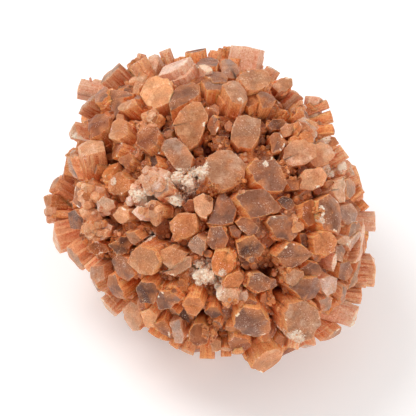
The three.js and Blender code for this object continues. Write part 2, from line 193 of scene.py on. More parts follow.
# Factors of a surface's own red, green and blue. Of a pair, the second is for pale flanks.
MILKY = (1.34, 1.74, 2.2, 1)
DARK_BANDS = ((0.75, 0.49, 0.33, 1), (0.8, 0.37, 0.18, 1))
LIGHT_BANDS = ((1.06, 1.34, 1.55, 1), (1.05, 1.2, 1.24, 1))
# Painted light for flanks near the end.
PAINTED_LIGHT_NEAR_END = ((1.05, 1.34, 1.5, 1), (1.05, 1.15, 1.2, 1))
DARK_LINES = (0.68, 0.4, 0.27, 1)
# Painted shade for the low parts of flanks.
PAINTED_SHADE_LOW_FLANK = (0.93, 0.57, 0.32, 1)
DARK_GRIT = (0.74, 0.46, 0.33, 1)
LIGHT_GRIT = ((1.28, 1.5, 1.6, 1), (1.06, 1.16, 1.2, 1))

# How far apart the stripes of two crystals are taken from their noise.
CRYSTALS_APART = 40

# ---- ends that show on the best side, in three groups: kind, how far out, corners (right, down, ...) on the
# grid, and where it matters the lean of the crystal's axis
UPPER_ENDS = [
    # upper left
    ("G", 1.0, (99, 83, 103, 76, 110, 68, 118, 61, 120, 63, 117, 69, 108, 78), (-0.66, 0.62)),
    ("M", 1.0, (93, 97, 99, 90, 104, 86, 107, 88, 106, 95, 101, 101, 95, 103)),
    ("G", 1.0, (77, 113, 80, 107, 88, 96, 92, 93, 92, 98, 86, 106, 79, 114), (-0.8, 0.45)),
    ("R", 0.98, (87, 119, 95, 113, 105, 113, 110, 118, 109, 127, 99, 135, 89, 138)),
    ("P", 1.0, (69, 125, 73, 121, 75, 124, 74, 138, 70, 139, 68, 132), (-0.9, 0.2)),
    ("M", 0.96, (106, 93, 112, 91, 125, 90, 131, 94, 125, 98, 117, 109, 111, 114)),
    ("T", 1.0, (116, 106, 120, 99, 127, 97, 134, 99, 136, 104, 128, 109, 119, 111)),
    ("T", 0.97, (140, 72, 148, 76, 146, 82, 138, 94, 132, 93, 133, 86)),
    ("P", 1.0, (148, 57, 153, 52, 157, 53, 158, 60, 153, 68, 149, 65), (-0.45, 0.7)),
    ("T", 1.0, (110, 122, 117, 117, 125, 120, 126, 134, 119, 141, 109, 138)),
    ("L", 1.0, (77, 142, 85, 138, 99, 136, 104, 141, 106, 151, 96, 154, 84, 156), (-0.15, 0.78)),
    ("B", 1.0, (66, 156, 70, 158, 76, 172, 79, 178, 74, 178, 69, 170), (-0.85, 0.2)),
    ("L", 1.0, (139, 93, 147, 79, 155, 76, 168, 78, 173, 90, 170, 104, 156, 110, 147, 105)),
    ("R", 0.97, (139, 132, 147, 127, 158, 127, 161, 134, 158, 146, 148, 152, 137, 145)),
    ("L", 0.96, (145, 113, 152, 110, 159, 114, 160, 121, 153, 125, 146, 121)),
    ("B", 0.99, (161, 150, 166, 140, 176, 138, 186, 147, 193, 157, 190, 169, 182, 175, 173, 166)),
    ("R", 0.97, (119, 160, 130, 153, 134, 160, 130, 170, 122, 166)),
    # top
    ("W", 1.0, (157, 74, 163, 66, 176, 58, 190, 55, 186, 62, 180, 68, 168, 73), (-0.45, 0.8)),
    ("M", 0.96, (195, 63, 200, 59, 212, 58, 220, 61, 216, 67, 198, 67)),
    ("B", 0.98, (221, 61, 230, 58, 237, 64, 240, 71, 237, 78, 228, 77, 222, 72)),
    ("M", 0.98, (205, 75, 212, 71, 222, 71, 228, 77, 226, 82, 214, 82)),
    ("M", 0.97, (201, 81, 208, 80, 222, 83, 227, 86, 220, 90, 207, 90)),
    ("T", 1.0, (222, 86, 228, 82, 239, 80, 247, 88, 249, 97, 241, 104, 232, 103)),
    ("T", 1.0, (237, 78, 243, 73, 252, 71, 264, 70, 271, 79, 268, 86, 258, 90, 249, 89)),
    ("M", 0.98, (257, 92, 264, 89, 272, 91, 277, 99, 273, 106, 264, 105)),
    ("M", 0.98, (169, 104, 171, 92, 180, 85, 192, 81, 200, 86, 199, 95, 190, 103, 171, 112)),
    ("T", 1.02, (191, 101, 201, 103, 208, 117, 206, 127, 198, 144, 189, 149, 178, 134, 172, 126, 180, 112)),
    ("T", 1.01, (232, 128, 236, 118, 247, 115, 260, 120, 259, 136, 251, 149, 238, 148, 231, 139)),
    # upper right
    ("L", 1.0, (272, 86, 279, 80, 286, 77, 292, 79, 293, 85, 286, 89, 278, 93)),
    ("D", 0.93, (267, 126, 272, 120, 282, 120, 286, 124, 280, 130, 271, 131)),
    ("L", 1.0, (292, 127, 296, 121, 306, 119, 316, 123, 319, 129, 310, 134, 298, 134)),
    ("M", 0.97, (269, 138, 273, 133, 280, 133, 285, 142, 281, 151, 272, 153)),
    ("L", 0.99, (283, 160, 284, 149, 292, 141, 303, 140, 314, 145, 315, 157, 305, 164, 291, 165)),
    ("L", 1.0, (312, 146, 320, 142, 331, 147, 334, 155, 328, 164, 317, 166, 311, 158)),
    ("T", 0.99, (308, 103, 314, 101, 324, 105, 327, 110, 318, 111)),
    ("R", 1.0, (322, 139, 328, 136, 335, 138, 339, 144, 333, 147, 325, 144)),
    ("L", 0.99, (299, 189, 299, 177, 304, 170, 321, 168, 326, 176, 323, 185, 311, 190)),
    ("P", 1.0, (330, 190, 336, 181, 343, 176, 345, 185, 344, 202, 339, 202)),
    ("B", 1.0, (345, 180, 350, 178, 355, 184, 355, 192, 349, 199, 345, 196)),
]
MIDDLE_ENDS = [
    # middle
    ("T", 1.02, (202, 171, 210, 154, 219, 148, 231, 147, 246, 165, 243, 178, 235, 186, 222, 190, 212, 183)),
    ("M", 1.01, (248, 167, 254, 161, 275, 160, 283, 173, 287, 183, 282, 190, 267, 191, 256, 182)),
    ("M", 1.01, (236, 197, 241, 191, 263, 189, 273, 196, 281, 207, 278, 212, 250, 218, 243, 208)),
    ("M", 0.98, (206, 222, 213, 210, 217, 195, 223, 191, 230, 199, 236, 209, 232, 222, 222, 225)),
    ("O", 1.0, (169, 222, 178, 213, 195, 213, 197, 225, 195, 233, 185, 238, 174, 240)),
    ("L", 1.0, (194, 199, 203, 193, 213, 200, 212, 210, 206, 218, 200, 216, 195, 211)),
    ("B", 0.99, (190, 239, 196, 235, 205, 241, 205, 251, 201, 256, 192, 252, 188, 245)),
    ("M", 0.97, (206, 243, 210, 227, 222, 226, 228, 238, 225, 247, 213, 250)),
    ("M", 0.98, (236, 222, 242, 217, 251, 219, 258, 227, 256, 233, 248, 235, 241, 230)),
    ("D", 1.0, (236, 242, 243, 238, 254, 236, 264, 249, 260, 256, 247, 260, 238, 254)),
    ("O", 1.0, (211, 261, 215, 251, 228, 250, 234, 258, 232, 270, 222, 277, 212, 272)),
    ("M", 1.0, (266, 222, 270, 216, 284, 215, 295, 220, 297, 234, 290, 241, 275, 237)),
    ("M", 1.01, (275, 256, 288, 242, 300, 245, 312, 254, 300, 263, 287, 269)),
    # right
    ("M", 1.01, (319, 200, 330, 193, 341, 202, 343, 216, 337, 231, 325, 229, 318, 213)),
    ("B", 0.99, (343, 206, 350, 203, 357, 212, 356, 221, 347, 225, 342, 216)),
    ("R", 0.96, (302, 203, 311, 199, 318, 206, 318, 221, 309, 226, 301, 217)),
    ("O", 1.01, (311, 238, 317, 231, 330, 232, 336, 240, 334, 250, 328, 254, 314, 252)),
    ("S", 1.0, (357, 262, 359, 247, 362, 231, 365, 220, 367, 228, 364, 247, 361, 260), (0.93, 0.1)),
    ("B", 1.0, (348, 289, 350, 280, 357, 268, 361, 257, 365, 258, 361, 272, 355, 284), (0.85, -0.15)),
    # lower right
    ("T", 1.03, (283, 312, 289, 304, 303, 300, 318, 310, 320, 324, 311, 338, 296, 341, 287, 331)),
    ("M", 1.01, (294, 288, 303, 279, 317, 276, 321, 288, 316, 298, 305, 302)),
    ("T", 0.99, (285, 272, 294, 268, 303, 272, 303, 281, 294, 287, 286, 283)),
    ("M", 0.98, (300, 268, 309, 261, 318, 264, 322, 272, 313, 277, 303, 277)),
    ("P", 1.0, (321, 281, 330, 276, 337, 278, 336, 291, 327, 296, 322, 290)),
    ("B", 0.99, (319, 301, 326, 296, 332, 298, 327, 310, 321, 310)),
    ("M", 1.01, (235, 316, 244, 308, 260, 309, 270, 321, 269, 331, 258, 340, 245, 337, 234, 328)),
    ("M", 0.99, (247, 284, 250, 273, 260, 271, 270, 278, 269, 287, 257, 291)),
    ("O", 1.0, (221, 284, 227, 275, 239, 270, 245, 276, 238, 289, 226, 289)),
    ("P", 1.0, (216, 294, 224, 288, 236, 289, 238, 297, 226, 303, 219, 300)),
    ("B", 1.0, (341, 327, 340, 333, 333, 341, 325, 345, 326, 340, 333, 331), (0.7, -0.6)),
    ("T", 1.02, (250, 366, 256, 357, 264, 351, 275, 348, 283, 351, 281, 359, 272, 366, 262, 371),
     (0.38, -0.76)),
]
LOWER_ENDS = [
    # lower left
    ("O", 0.99, (182, 304, 188, 297, 199, 297, 204, 305, 196, 315, 187, 312)),
    ("D", 0.96, (204, 313, 209, 306, 218, 306, 221, 313, 213, 320)),
    ("M", 0.99, (155, 302, 159, 291, 172, 290, 181, 299, 170, 308, 159, 309)),
    ("D", 0.99, (135, 290, 141, 281, 154, 282, 160, 291, 154, 303, 141, 302)),
    ("P", 0.99, (170, 322, 179, 319, 184, 336, 182, 342, 175, 342)),
    ("R", 0.99, (189, 331, 194, 323, 203, 323, 209, 331, 207, 343, 196, 346, 189, 340)),
    ("R", 0.98, (153, 323, 163, 320, 170, 327, 170, 338, 160, 337)),
    ("R", 0.97, (228, 340, 234, 334, 246, 337, 251, 345, 243, 351, 231, 349)),
    ("L", 1.0, (120, 311, 127, 305, 136, 309, 141, 320, 140, 330, 132, 331, 123, 321)),
    ("L", 0.98, (141, 311, 150, 308, 157, 315, 154, 327, 146, 327)),
    ("P", 1.0, (100, 299, 104, 300, 113, 309, 118, 314, 115, 316, 107, 309), (-0.7, -0.62)),
    ("B", 1.0, (91, 276, 94, 279, 99, 291, 97, 293, 92, 284), (-0.88, -0.38)),
    ("M", 1.0, (107, 277, 113, 276, 124, 290, 124, 301, 116, 299, 108, 286)),
    ("M", 0.98, (112, 260, 117, 254, 127, 258, 136, 274, 129, 280, 119, 275)),
    ("T", 1.01, (127, 262, 132, 251, 142, 246, 155, 250, 160, 261, 153, 274, 139, 273)),
    ("D", 0.985, (109, 244, 118, 238, 128, 235, 133, 242, 128, 253, 118, 255)),
    ("R", 0.97, (87, 248, 97, 240, 107, 244, 110, 251, 97, 255)),
    ("B", 0.99, (91, 267, 103, 266, 105, 278, 97, 283, 91, 277)),
    ("B", 1.0, (65, 248, 70, 249, 78, 256, 84, 267, 82, 271, 76, 268, 68, 258), (-0.72, -0.52)),
    ("P", 1.0, (48, 222, 51, 224, 56, 236, 60, 250, 59, 254, 55, 248, 50, 236), (-0.92, -0.28)),
    ("T", 0.98, (160, 250, 172, 246, 188, 253, 182, 262, 169, 269, 163, 262)),
    ("B", 0.96, (159, 272, 174, 266, 186, 256, 192, 256, 190, 267, 176, 275)),
    # left
    ("T", 1.0, (42, 197, 46, 194, 50, 195, 50, 208, 48, 211, 44, 209), (-0.85, 0.0)),
    ("B", 1.0, (46, 190, 50, 182, 57, 176, 58, 177, 53, 187, 48, 191), (-0.8, 0.5)),
    ("D", 0.93, (68, 213, 75, 209, 82, 218, 82, 230, 71, 229)),
    ("L", 0.98, (76, 182, 86, 185, 101, 188, 103, 199, 92, 207, 84, 200)),
    ("O", 1.0, (106, 184, 112, 175, 122, 172, 130, 180, 130, 189, 119, 196, 108, 192)),
    ("P", 1.0, (98, 202, 104, 196, 114, 201, 116, 207, 108, 211)),
    ("L", 1.0, (113, 216, 120, 207, 129, 211, 130, 219, 120, 224)),
    ("L", 0.98, (79, 210, 88, 205, 98, 210, 104, 219, 94, 222, 85, 221)),
    ("P", 0.99, (87, 223, 103, 220, 113, 226, 110, 236, 100, 240, 91, 234)),
    ("T", 0.99, (146, 204, 156, 200, 163, 206, 162, 214, 153, 219, 146, 213)),
    ("P", 1.0, (145, 183, 148, 168, 156, 165, 167, 170, 169, 190, 157, 198)),
]
FACE_GROUPS = {"crystals_upper": UPPER_ENDS, "crystals_middle": MIDDLE_ENDS, "crystals_lower": LOWER_ENDS}

# Smaller ends on the best side, between the large ones.
SMALL_FACE_CRYSTALS = [
    ("D", 0.93, (161, 130, 168, 127, 174, 130, 172, 139, 164, 140)),
    ("W", 1.0, (199, 64, 205, 64, 211, 67, 213, 71, 207, 73, 202, 70)),
    ("M", 0.96, (209, 121, 213, 117, 218, 119, 219, 128, 215, 136, 210, 135, 207, 127)),
    ("M", 0.93, (210, 108, 215, 105, 219, 108, 219, 115, 213, 116)),
    ("M", 0.94, (224, 126, 229, 121, 232, 124, 231, 132, 226, 131)),
    ("T", 0.97, (280, 129, 285, 124, 292, 125, 294, 131, 289, 136, 283, 138)),
    ("O", 1.0, (298, 136, 303, 131, 313, 134, 314, 140, 308, 145, 301, 141)),
    ("L", 0.96, (292, 116, 296, 111, 303, 112, 307, 117, 299, 120)),
    ("M", 0.93, (286, 181, 292, 178, 299, 181, 298, 190, 290, 190)),
    ("T", 0.98, (325, 183, 330, 180, 335, 183, 334, 189, 328, 190)),
    ("L", 0.97, (164, 198, 174, 196, 182, 201, 182, 206, 174, 206)),
    ("R", 0.95, (183, 204, 191, 199, 198, 203, 193, 211, 186, 211)),
    ("M", 0.95, (229, 226, 235, 224, 241, 231, 239, 238, 232, 235)),
    ("D", 0.93, (277, 200, 283, 196, 291, 199, 294, 206, 288, 211, 281, 207)),
    ("D", 0.94, (298, 234, 304, 233, 308, 241, 308, 249, 301, 246)),
    ("P", 1.0, (336, 241, 342, 236, 349, 237, 346, 243, 340, 246)),
    ("P", 0.98, (236, 300, 240, 291, 246, 289, 248, 296, 242, 304)),
    ("M", 0.97, (243, 302, 249, 297, 257, 301, 251, 308, 245, 307)),
    ("T", 0.99, (209, 343, 215, 337, 221, 340, 221, 348, 213, 352)),
    ("T", 0.98, (126, 232, 135, 232, 142, 240, 135, 245, 129, 240)),
    ("W", 0.99, (131, 192, 138, 188, 145, 190, 145, 198, 137, 201)),
    ("W", 1.0, (133, 212, 139, 206, 148, 209, 149, 215, 141, 220)),
    ("B", 0.985, (336, 246, 341, 244, 344, 250, 341, 262, 336, 260)),
    ("W", 0.99, (332, 256, 335, 253, 335, 262, 332, 271, 330, 266)),
    ("P", 0.985, (346, 243, 358, 231, 360, 235, 349, 251)),
    ("B", 0.985, (351, 224, 358, 222, 360, 228, 353, 238, 347, 236)),
    ("M", 0.98, (339, 263, 349, 261, 352, 270, 346, 281, 338, 278)),
    ("B", 0.985, (342, 286, 346, 285, 345, 300, 342, 304, 340, 297)),
    ("O", 1.005, (293, 117, 297, 112, 302, 113, 304, 117, 300, 120, 295, 121)),
    ("P", 1.015, (298, 120, 305, 117, 314, 124, 318, 128, 313, 132, 306, 125)),
    ("O", 1.01, (293, 124, 298, 121, 301, 127, 299, 134, 294, 130)),
]

# Small six-sided ends on the best side: kind, how far out, right, down, reach in grid steps.
SMALL_ROUND_CRYSTALS = [
    ("M", 0.94, 266, 297, 7), ("M", 0.95, 270, 283, 6), ("M", 0.94, 217, 323, 6),
    ("T", 0.97, 226, 348, 7), ("D", 0.95, 174, 311, 6), ("R", 0.97, 141, 304, 7),
    ("P", 0.98, 138, 184, 4), ("W", 0.98, 130, 202, 5), ("R", 0.95, 127, 161, 5),
    ("M", 0.95, 315, 256, 5), ("T", 0.96, 213, 333, 5), ("P", 0.99, 351, 172, 4),
    ("L", 0.98, 342, 170, 5), ("M", 0.97, 139, 98, 5), ("W", 0.93, 203, 276, 8),
    ("W", 0.95, 187, 180, 6), ("W", 0.96, 200, 170, 5), ("W", 0.96, 177, 176, 6),
    ("M", 0.94, 168, 134, 5), ("M", 0.95, 254, 222, 6), ("B", 0.985, 337, 229, 6),
]

# Crystals that point sideways round the rim: kind, then from right, down, to right, down, thickness, how
# far forward.
RIM_CRYSTALS = [
    # left, going up
    ("W", 76, 99, 80, 78, 20, 0.98), ("L", 129, 67, 146, 57, 20, 1.03),
    ("P", 137, 52, 148, 55, 14, 0.98),
    # top, going right
    ("P", 159, 51, 170, 47, 14, 0.98), ("M", 184, 51, 206, 48, 20, 0.99),
    ("L", 209, 49, 223, 53, 12, 0.99), ("W", 231, 43, 266, 51, 26, 1.0),
    ("P", 267, 64, 281, 73, 14, 1.0), ("P", 294, 87, 304, 99, 12, 0.97),
    ("W", 305, 95, 324, 98, 16, 1.0), ("L", 326, 99, 330, 109, 14, 0.98),
    # right, going down
    ("T", 330, 110, 334, 122, 12, 0.99), ("R", 334, 124, 335, 136, 10, 0.99),
    ("S", 339, 144, 348, 158, 14, 0.99), ("P", 349, 163, 355, 177, 12, 0.99),
    ("T", 357, 183, 365, 192, 13, 0.99), ("R", 362, 199, 369, 207, 12, 0.97),
    ("W", 375, 211, 375, 233, 18, 0.98), ("S", 376, 252, 374, 288, 30, 0.98),
    ("S", 362, 288, 360, 304, 18, 1.0), ("W", 359, 306, 352, 328, 16, 1.0),
    # bottom, going left
    ("P", 316, 345, 300, 348, 18, 0.98), ("S", 298, 349, 283, 347, 16, 0.98),
    ("T", 244, 353, 231, 353, 14, 0.99), ("T", 231, 355, 219, 355, 12, 0.97),
    ("T", 215, 358, 199, 357, 14, 0.99), ("L", 194, 355, 180, 350, 13, 0.98),
    ("T", 178, 349, 168, 342, 12, 0.97), ("T", 165, 341, 148, 331, 15, 0.98),
]
SMALL_RIM_CRYSTALS = [
    ("T", 52, 219, 53, 208, 12, 0.98), ("R", 364, 234, 367, 248, 10, 0.97),
    ("P", 90, 273, 84, 266, 10, 0.98),
]

# Open pockets between the crystals of the best side, where the stone shows, dark with painted crevice shade:
# right, down, reach.
DARK_POCKETS = [
    (167, 117, 6), (130, 150, 6), (234, 197, 6), (248, 180, 5), (212, 192, 6), (198, 257, 5),
    (266, 266, 6), (322, 261, 6), (194, 347, 5), (227, 332, 6), (228, 308, 5), (270, 142, 4),
    (196, 150, 3),
]

# Chalky crust on the best side: right, down, how far it spreads in grid steps, how many grains.
CRUST_PATCHES = [
    (176, 176, 9, 150), (199, 172, 10, 150), (188, 184, 8, 70), (203, 277, 13, 260), (214, 286, 9, 90),
    (288, 327, 9, 110), (320, 139, 8, 90), (336, 152, 5, 30), (316, 207, 2, 12), (317, 214, 2, 10),
    (318, 220, 3, 16), (146, 198, 9, 90), (146, 238, 4, 30), (262, 167, 3, 14), (335, 168, 8, 80),
    (222, 270, 4, 20), (247, 115, 4, 30), (176, 200, 7, 50), (117, 182, 4, 24), (240, 103, 3, 14),
    (345, 240, 5, 30), (344, 314, 6, 40), (77, 137, 4, 20),
]

# Knobs of tiny crystals on the best side: kind, right, down, spread, how many, their width in millimetres.
KNOBS = [
    ("P", 157, 184, 9, 15, 2.6), ("P", 150, 176, 6, 9, 2.0), ("L", 90, 197, 11, 20, 2.3),
    ("P", 100, 212, 9, 14, 2.1), ("L", 101, 228, 10, 18, 2.2), ("L", 297, 225, 8, 16, 1.8),
    ("P", 56, 214, 6, 10, 1.9), ("O", 290, 111, 10, 40, 1.2), ("D", 186, 190, 11, 60, 0.9),
    ("R", 139, 168, 12, 70, 1.0), ("O", 315, 212, 4, 8, 0.8), ("W", 335, 169, 8, 14, 1.8),
    ("L", 152, 119, 8, 12, 2.3), ("L", 155, 212, 8, 12, 2.2), ("W", 138, 196, 8, 14, 1.9),
    ("W", 203, 277, 10, 24, 1.6), ("W", 88, 80, 3, 2, 1.0), ("M", 250, 265, 8, 16, 1.8),
    ("O", 181, 285, 7, 14, 1.6), ("R", 221, 140, 8, 40, 0.9), ("R", 290, 171, 9, 40, 1.0),
    ("O", 232, 302, 8, 30, 1.1), ("R", 210, 330, 9, 30, 1.1), ("O", 275, 300, 8, 30, 1.1),
    ("L", 300, 103, 8, 22, 1.4), ("R", 170, 285, 7, 26, 1.1), ("R", 210, 192, 8, 30, 1.0),
    ("R", 240, 186, 8, 30, 0.9), ("O", 285, 268, 3, 5, 0.8),
]


# ---- fixed chances and smooth noise
def stirred(key):
    """A whole number below 2 ** 32, mixed from another; arrays work too."""
    key = key & 0xFFFFFFFF
    key = ((key ^ (key >> 15)) * 0x2C1B3C6D) & 0xFFFFFFFF
    key = ((key ^ (key >> 12)) * 0x297A2D39) & 0xFFFFFFFF
    return key ^ (key >> 15)


def chance(seed, channel):
    """A number from 0 to 1, always the same for one seed and channel."""
    return stirred((seed + 1) * 0x9E3779B1 ^ (channel + 1) * 0x85EBCA6B) / 2**32


def between(low, high, share):
    return low + (high - low) * share


def leans(most, seed, *channels):
    return np.array([between(-most, most, chance(seed, channel)) for channel in channels])


def any_turn(seed, channel, rise=0.0):
    """A direction across, at a turn set by chance."""
    turn = 2 * math.pi * chance(seed, channel)
    return np.array([math.cos(turn), math.sin(turn), rise])


def any_kind(kinds, seed, channel):
    return kinds[int(chance(seed, channel) * len(kinds))]


def noise(points, seed):
    """Smooth noise from -1 to 1 at an array of places, one cell to a unit."""
    cell = np.floor(points).astype(np.int64)
    part = points - cell
    part = part * part * (3 - 2 * part)
    total = np.zeros(len(points))
    for corner in range(8):
        step = np.array([corner & 1, corner >> 1 & 1, corner >> 2])
        at = cell + step
        key = (at[:, 0] * 73856093) ^ (at[:, 1] * 19349663) ^ (at[:, 2] * 83492791) ^ (seed * 40503)
        weight = np.prod(np.where(step, part, 1 - part), axis=1)
        total += weight * (stirred(key) / 2**31 - 1)
    return total


# ---- the frame of the best side and the rounded form
def turn_x(angle):
    c, s = math.cos(angle), math.sin(angle)
    return np.array([[1, 0, 0], [0, c, -s], [0, s, c]])


def turn_z(angle):
    c, s = math.cos(angle), math.sin(angle)
    return np.array([[c, -s, 0], [s, c, 0], [0, 0, 1]])


STANDING = turn_x(math.radians(FACE_TURN))
TO_UNIT_BALL = np.diag([1 / half for half in HALF_SIZES]) @ turn_z(math.radians(-LONG_AXIS_YAW)) @ STANDING
FROM_UNIT_BALL = np.linalg.inv(TO_UNIT_BALL)


def unit(vector):
    vector = np.asarray(vector, dtype=float)
    return vector / np.linalg.norm(vector)


def to_part(points):
    """Places in the frame of the best side, in millimetres, to the part's frame in metres."""
    return (np.asarray(points) @ STANDING.T + GROWTH_CENTRE) * MM


def to_face(points):
    """Places in the part's frame in metres back to the frame of the best side in millimetres."""
    return (points / MM - GROWTH_CENTRE) @ STANDING


def share_of_form(points):
    return np.linalg.norm(points @ TO_UNIT_BALL.T, axis=-1)


def point_on_form(x, y, share):
    """The place above x and y on the near side of the form, grown or shrunk to a share of it."""
    flat = TO_UNIT_BALL @ [x, y, 0]
    towards = TO_UNIT_BALL @ [0, 0, 1]
    half = flat @ towards
    square = towards @ towards
    inside = half * half - square * (flat @ flat - share * share)
    return np.array([x, y, (-half + math.sqrt(max(0, inside))) / square])


def on_ball(height, around):
    """The place on the unit ball at a height and a turn."""
    ring = math.sqrt(max(0, 1 - height * height))
    return np.array([ring * math.cos(around), ring * math.sin(around), height])


def spread_over_form(count):
    """Places spread evenly over the whole form."""
    i = np.arange(count)
    height = 1 - 2 * (i + 0.5) / count
    ring = np.sqrt(1 - height * height)
    balls = np.column_stack([ring * np.cos(i * GOLDEN_ANGLE), ring * np.sin(i * GOLDEN_ANGLE), height])
    return np.array([FROM_UNIT_BALL @ ball for ball in balls])


def normal_at(point):
    """The normal of the rounded form that runs through a place."""
    return unit(TO_UNIT_BALL.T @ (TO_UNIT_BALL @ point))


def outward_at(point):
    return unit(unit(point) + normal_at(point))


def grid_place(right, down):
    return (right - FACE_CENTRE[0]) * STEP, (FACE_CENTRE[1] - down) * STEP


# ---- crystals: tip, axis, side, up and the outline of the end, as the solid has them
def flatten(vector, axis):
    return unit(vector - axis * (vector @ axis))


def ease_tilt(axis, offsets):
    """The axis, turned to face the viewer enough that the end isn't drawn out too far."""
    tilt = unit(axis[:2])
    along = offsets @ tilt
    across = offsets @ [tilt[1], -tilt[0]]
    least = max(LEAST_FACING, np.ptp(along) / np.ptp(across) / MOST_STRETCH)
    facing = min(MOST_FACING, max(axis[2], least))
    level = math.sqrt(1 - facing * facing)
    return np.array([tilt[0] * level, tilt[1] * level, facing])


def crystal(kind, tip, axis, across, outline, seed):
    side = flatten(np.asarray(across, dtype=float), axis)
    up = np.cross(axis, side)
    return {"kind": kind, "tip": tip, "axis": axis, "side": side, "up": up, "outline": outline, "seed": seed}


def crystal_from_outline(row, seed):
    kind, out, corners, *lean = row
    places = np.array([grid_place(*corners[i : i + 2]) for i in range(0, len(corners), 2)])
    middle = places.mean(axis=0)
    tip = point_on_form(*middle, out)
    offsets = places - middle
    if lean:
        right, up = lean[0]
        axis = np.array([right, up, math.sqrt(1 - right**2 - up**2)])
    else:
        axis = ease_tilt(unit(outward_at(tip) + [*leans(SWAY, seed, 90, 91), 0]), offsets)
    grown = crystal(kind, tip, axis, (1, 0, 0), None, seed)
    lifted = np.column_stack([offsets, -(offsets @ axis[:2]) / axis[2]])
    grown["outline"] = np.column_stack([lifted @ grown["side"], lifted @ grown["up"]])
    return grown


def six_sided_end(width, depth, seed):
    corners = []
    for k in range(6):
        angle = math.radians(60 * k + between(-9, 9, chance(seed, 10 + k)))
        reach = between(0.9, 1.06, chance(seed, 20 + k))
        along = math.cos(angle) * reach * width / 2
        corners.append((along, math.sin(angle) * reach * depth / 2 / HEXAGON_FLAT))
    return np.array(corners)


def broken_end(width, depth, seed):
    """An end with five to seven uneven corners."""
    count = 5 + int(chance(seed, 30) * 3)
    corners = []
    for k in range(count):
        angle = 2 * math.pi * (k + between(-0.26, 0.26, chance(seed, 31 + k))) / count
        reach = between(0.78, 1.12, chance(seed, 81 + k))
        corners.append((math.cos(angle) * reach * width / 2, math.sin(angle) * reach * depth / 2))
    return np.array(corners)


def crystal_from_size(kind, tip, axis, across, width, depth, seed):
    return crystal(kind, tip, axis, across, six_sided_end(width, depth, seed), seed)


def rim_crystal(row, seed):
    kind, right0, down0, right1, down1, depth, out = row
    start = np.array(grid_place(right0, down0))
    end = np.array(grid_place(right1, down1))
    tip = point_on_form(*((start + end) / 2), out)
    edge = np.array([*(end - start), 0])
    axis = unit([-edge[1], edge[0], 0])
    return crystal_from_size(kind, tip, axis, edge, np.linalg.norm(edge), depth * STEP, seed)


def small_round_crystal(row, seed):
    kind, out, right, down, reach = row
    tip = point_on_form(*grid_place(right, down), out)
    axis = unit(outward_at(tip) + leans(0.3, seed, 1, 2, 3))
    width = 2 * reach * STEP
    return crystal_from_size(kind, tip, axis, any_turn(seed, 4, 0.1), width, width * 0.9, seed)


def foot_crystal():
    down = STANDING.T @ [0, 0, -1]
    tip = down * (FOOT_HEIGHT + FOOT_WEAR)
    return crystal_from_size("T", tip, down, (1, 0, 0), FOOT_CRYSTAL_WIDTH, FOOT_CRYSTAL_WIDTH, FOOT_SEED)


def width_of(grown):
    """The mean width of a crystal's end."""
    return 2 * np.hypot(*grown["outline"].T).mean()


def rim_reach(rim, place):
    """How far the rim's crystals reach from the growth centre, seen from the best side, towards a place."""
    heading = math.atan2(place[1], place[0])
    near = np.cos(rim[:, 0] - heading) > math.cos(math.radians(RIM_WINDOW))
    return rim[near, 1].max() - RIM_INSET


def fill_crystals(grown):
    """The far side: places spread evenly over the form, kept where they stay clear of the rest."""
    tips = np.array([c["tip"] for c in grown])
    rim = np.column_stack([np.arctan2(tips[:, 1], tips[:, 0]), np.hypot(tips[:, 0], tips[:, 1])])
    filled = []
    for grade, (tries, least, most, low, high, spacing) in enumerate(FILL_CLASSES):
        for i in range(tries):
            seed = FILL_SEED * (grade + 1) + i
            height = 1 - 2 * (i + chance(seed, 0)) / tries
            around = i * GOLDEN_ANGLE + between(-0.4, 0.4, chance(seed, 1))
            tip = on_ball(height, around)
            tip *= between(low, high, chance(seed, 2)) / share_of_form(tip)
            width = between(least, most, chance(seed, 3))
            room = rim_reach(rim, tip) - width / 2 * abs(tip[2] / np.linalg.norm(tip))
            tip *= min(1, room / math.hypot(tip[0], tip[1]))
            clear = all(
                np.linalg.norm(c["tip"] - tip) > spacing * (width_of(c) + width) / 2
                for c in grown + filled
            )
            if normal_at(tip)[2] > FILL_FACING or not clear:
                continue
            depth = width * between(0.72, 0.98, chance(seed, 4))
            axis = unit(outward_at(tip) + leans(0.16, seed, 5, 6, 7))
            kind = any_kind(FILL_KINDS, seed, 9)
            filled.append(crystal_from_size(kind, tip, axis, any_turn(seed, 8), width, depth, seed))
    return filled


def all_crystals():
    """The crystals of the best side, the rim and the far side, and the small ones between them."""
    rows = [row for group in FACE_GROUPS.values() for row in group]
    face = [crystal_from_outline(row, index) for index, row in enumerate(rows)]
    rim = [rim_crystal(row, RIM_SEED + index) for index, row in enumerate(RIM_CRYSTALS)]
    foot = foot_crystal()
    small = []
    for rows, make, seed in (
        (SMALL_FACE_CRYSTALS, crystal_from_outline, SMALL_FACE_SEED),
        (SMALL_RIM_CRYSTALS, rim_crystal, SMALL_RIM_SEED),
        (SMALL_ROUND_CRYSTALS, small_round_crystal, SMALL_ROUND_SEED),
    ):
        small += [make(row, seed + index) for index, row in enumerate(rows)]
    return face, rim, [foot, *fill_crystals([foot, *face, *rim])], small


# ---- where the crust and the knobs lie
def patch_place(right, down):
    return point_on_form(*grid_place(right, down), PATCH_SHARE)


def far_place(index, channel):
    """A place on the far side, spread by the golden angle."""
    height = -between(0.12, 0.98, chance(index, channel))
    place = on_ball(height, index * GOLDEN_ANGLE + channel)
    return place * PATCH_SHARE / share_of_form(place)


def crust_patches():
    """Place, reach in millimetres and number of grains of every patch of crust."""
    patches = [(patch_place(*row[:2]), row[2] * STEP, row[3]) for row in CRUST_PATCHES]
    for index in range(FAR_CRUST_COUNT):
        reach = between(0.8, 2.2, chance(index, 300))
        patches.append((far_place(index, 301), reach, int(reach * reach * FAR_CRUST_DENSITY)))
    return patches


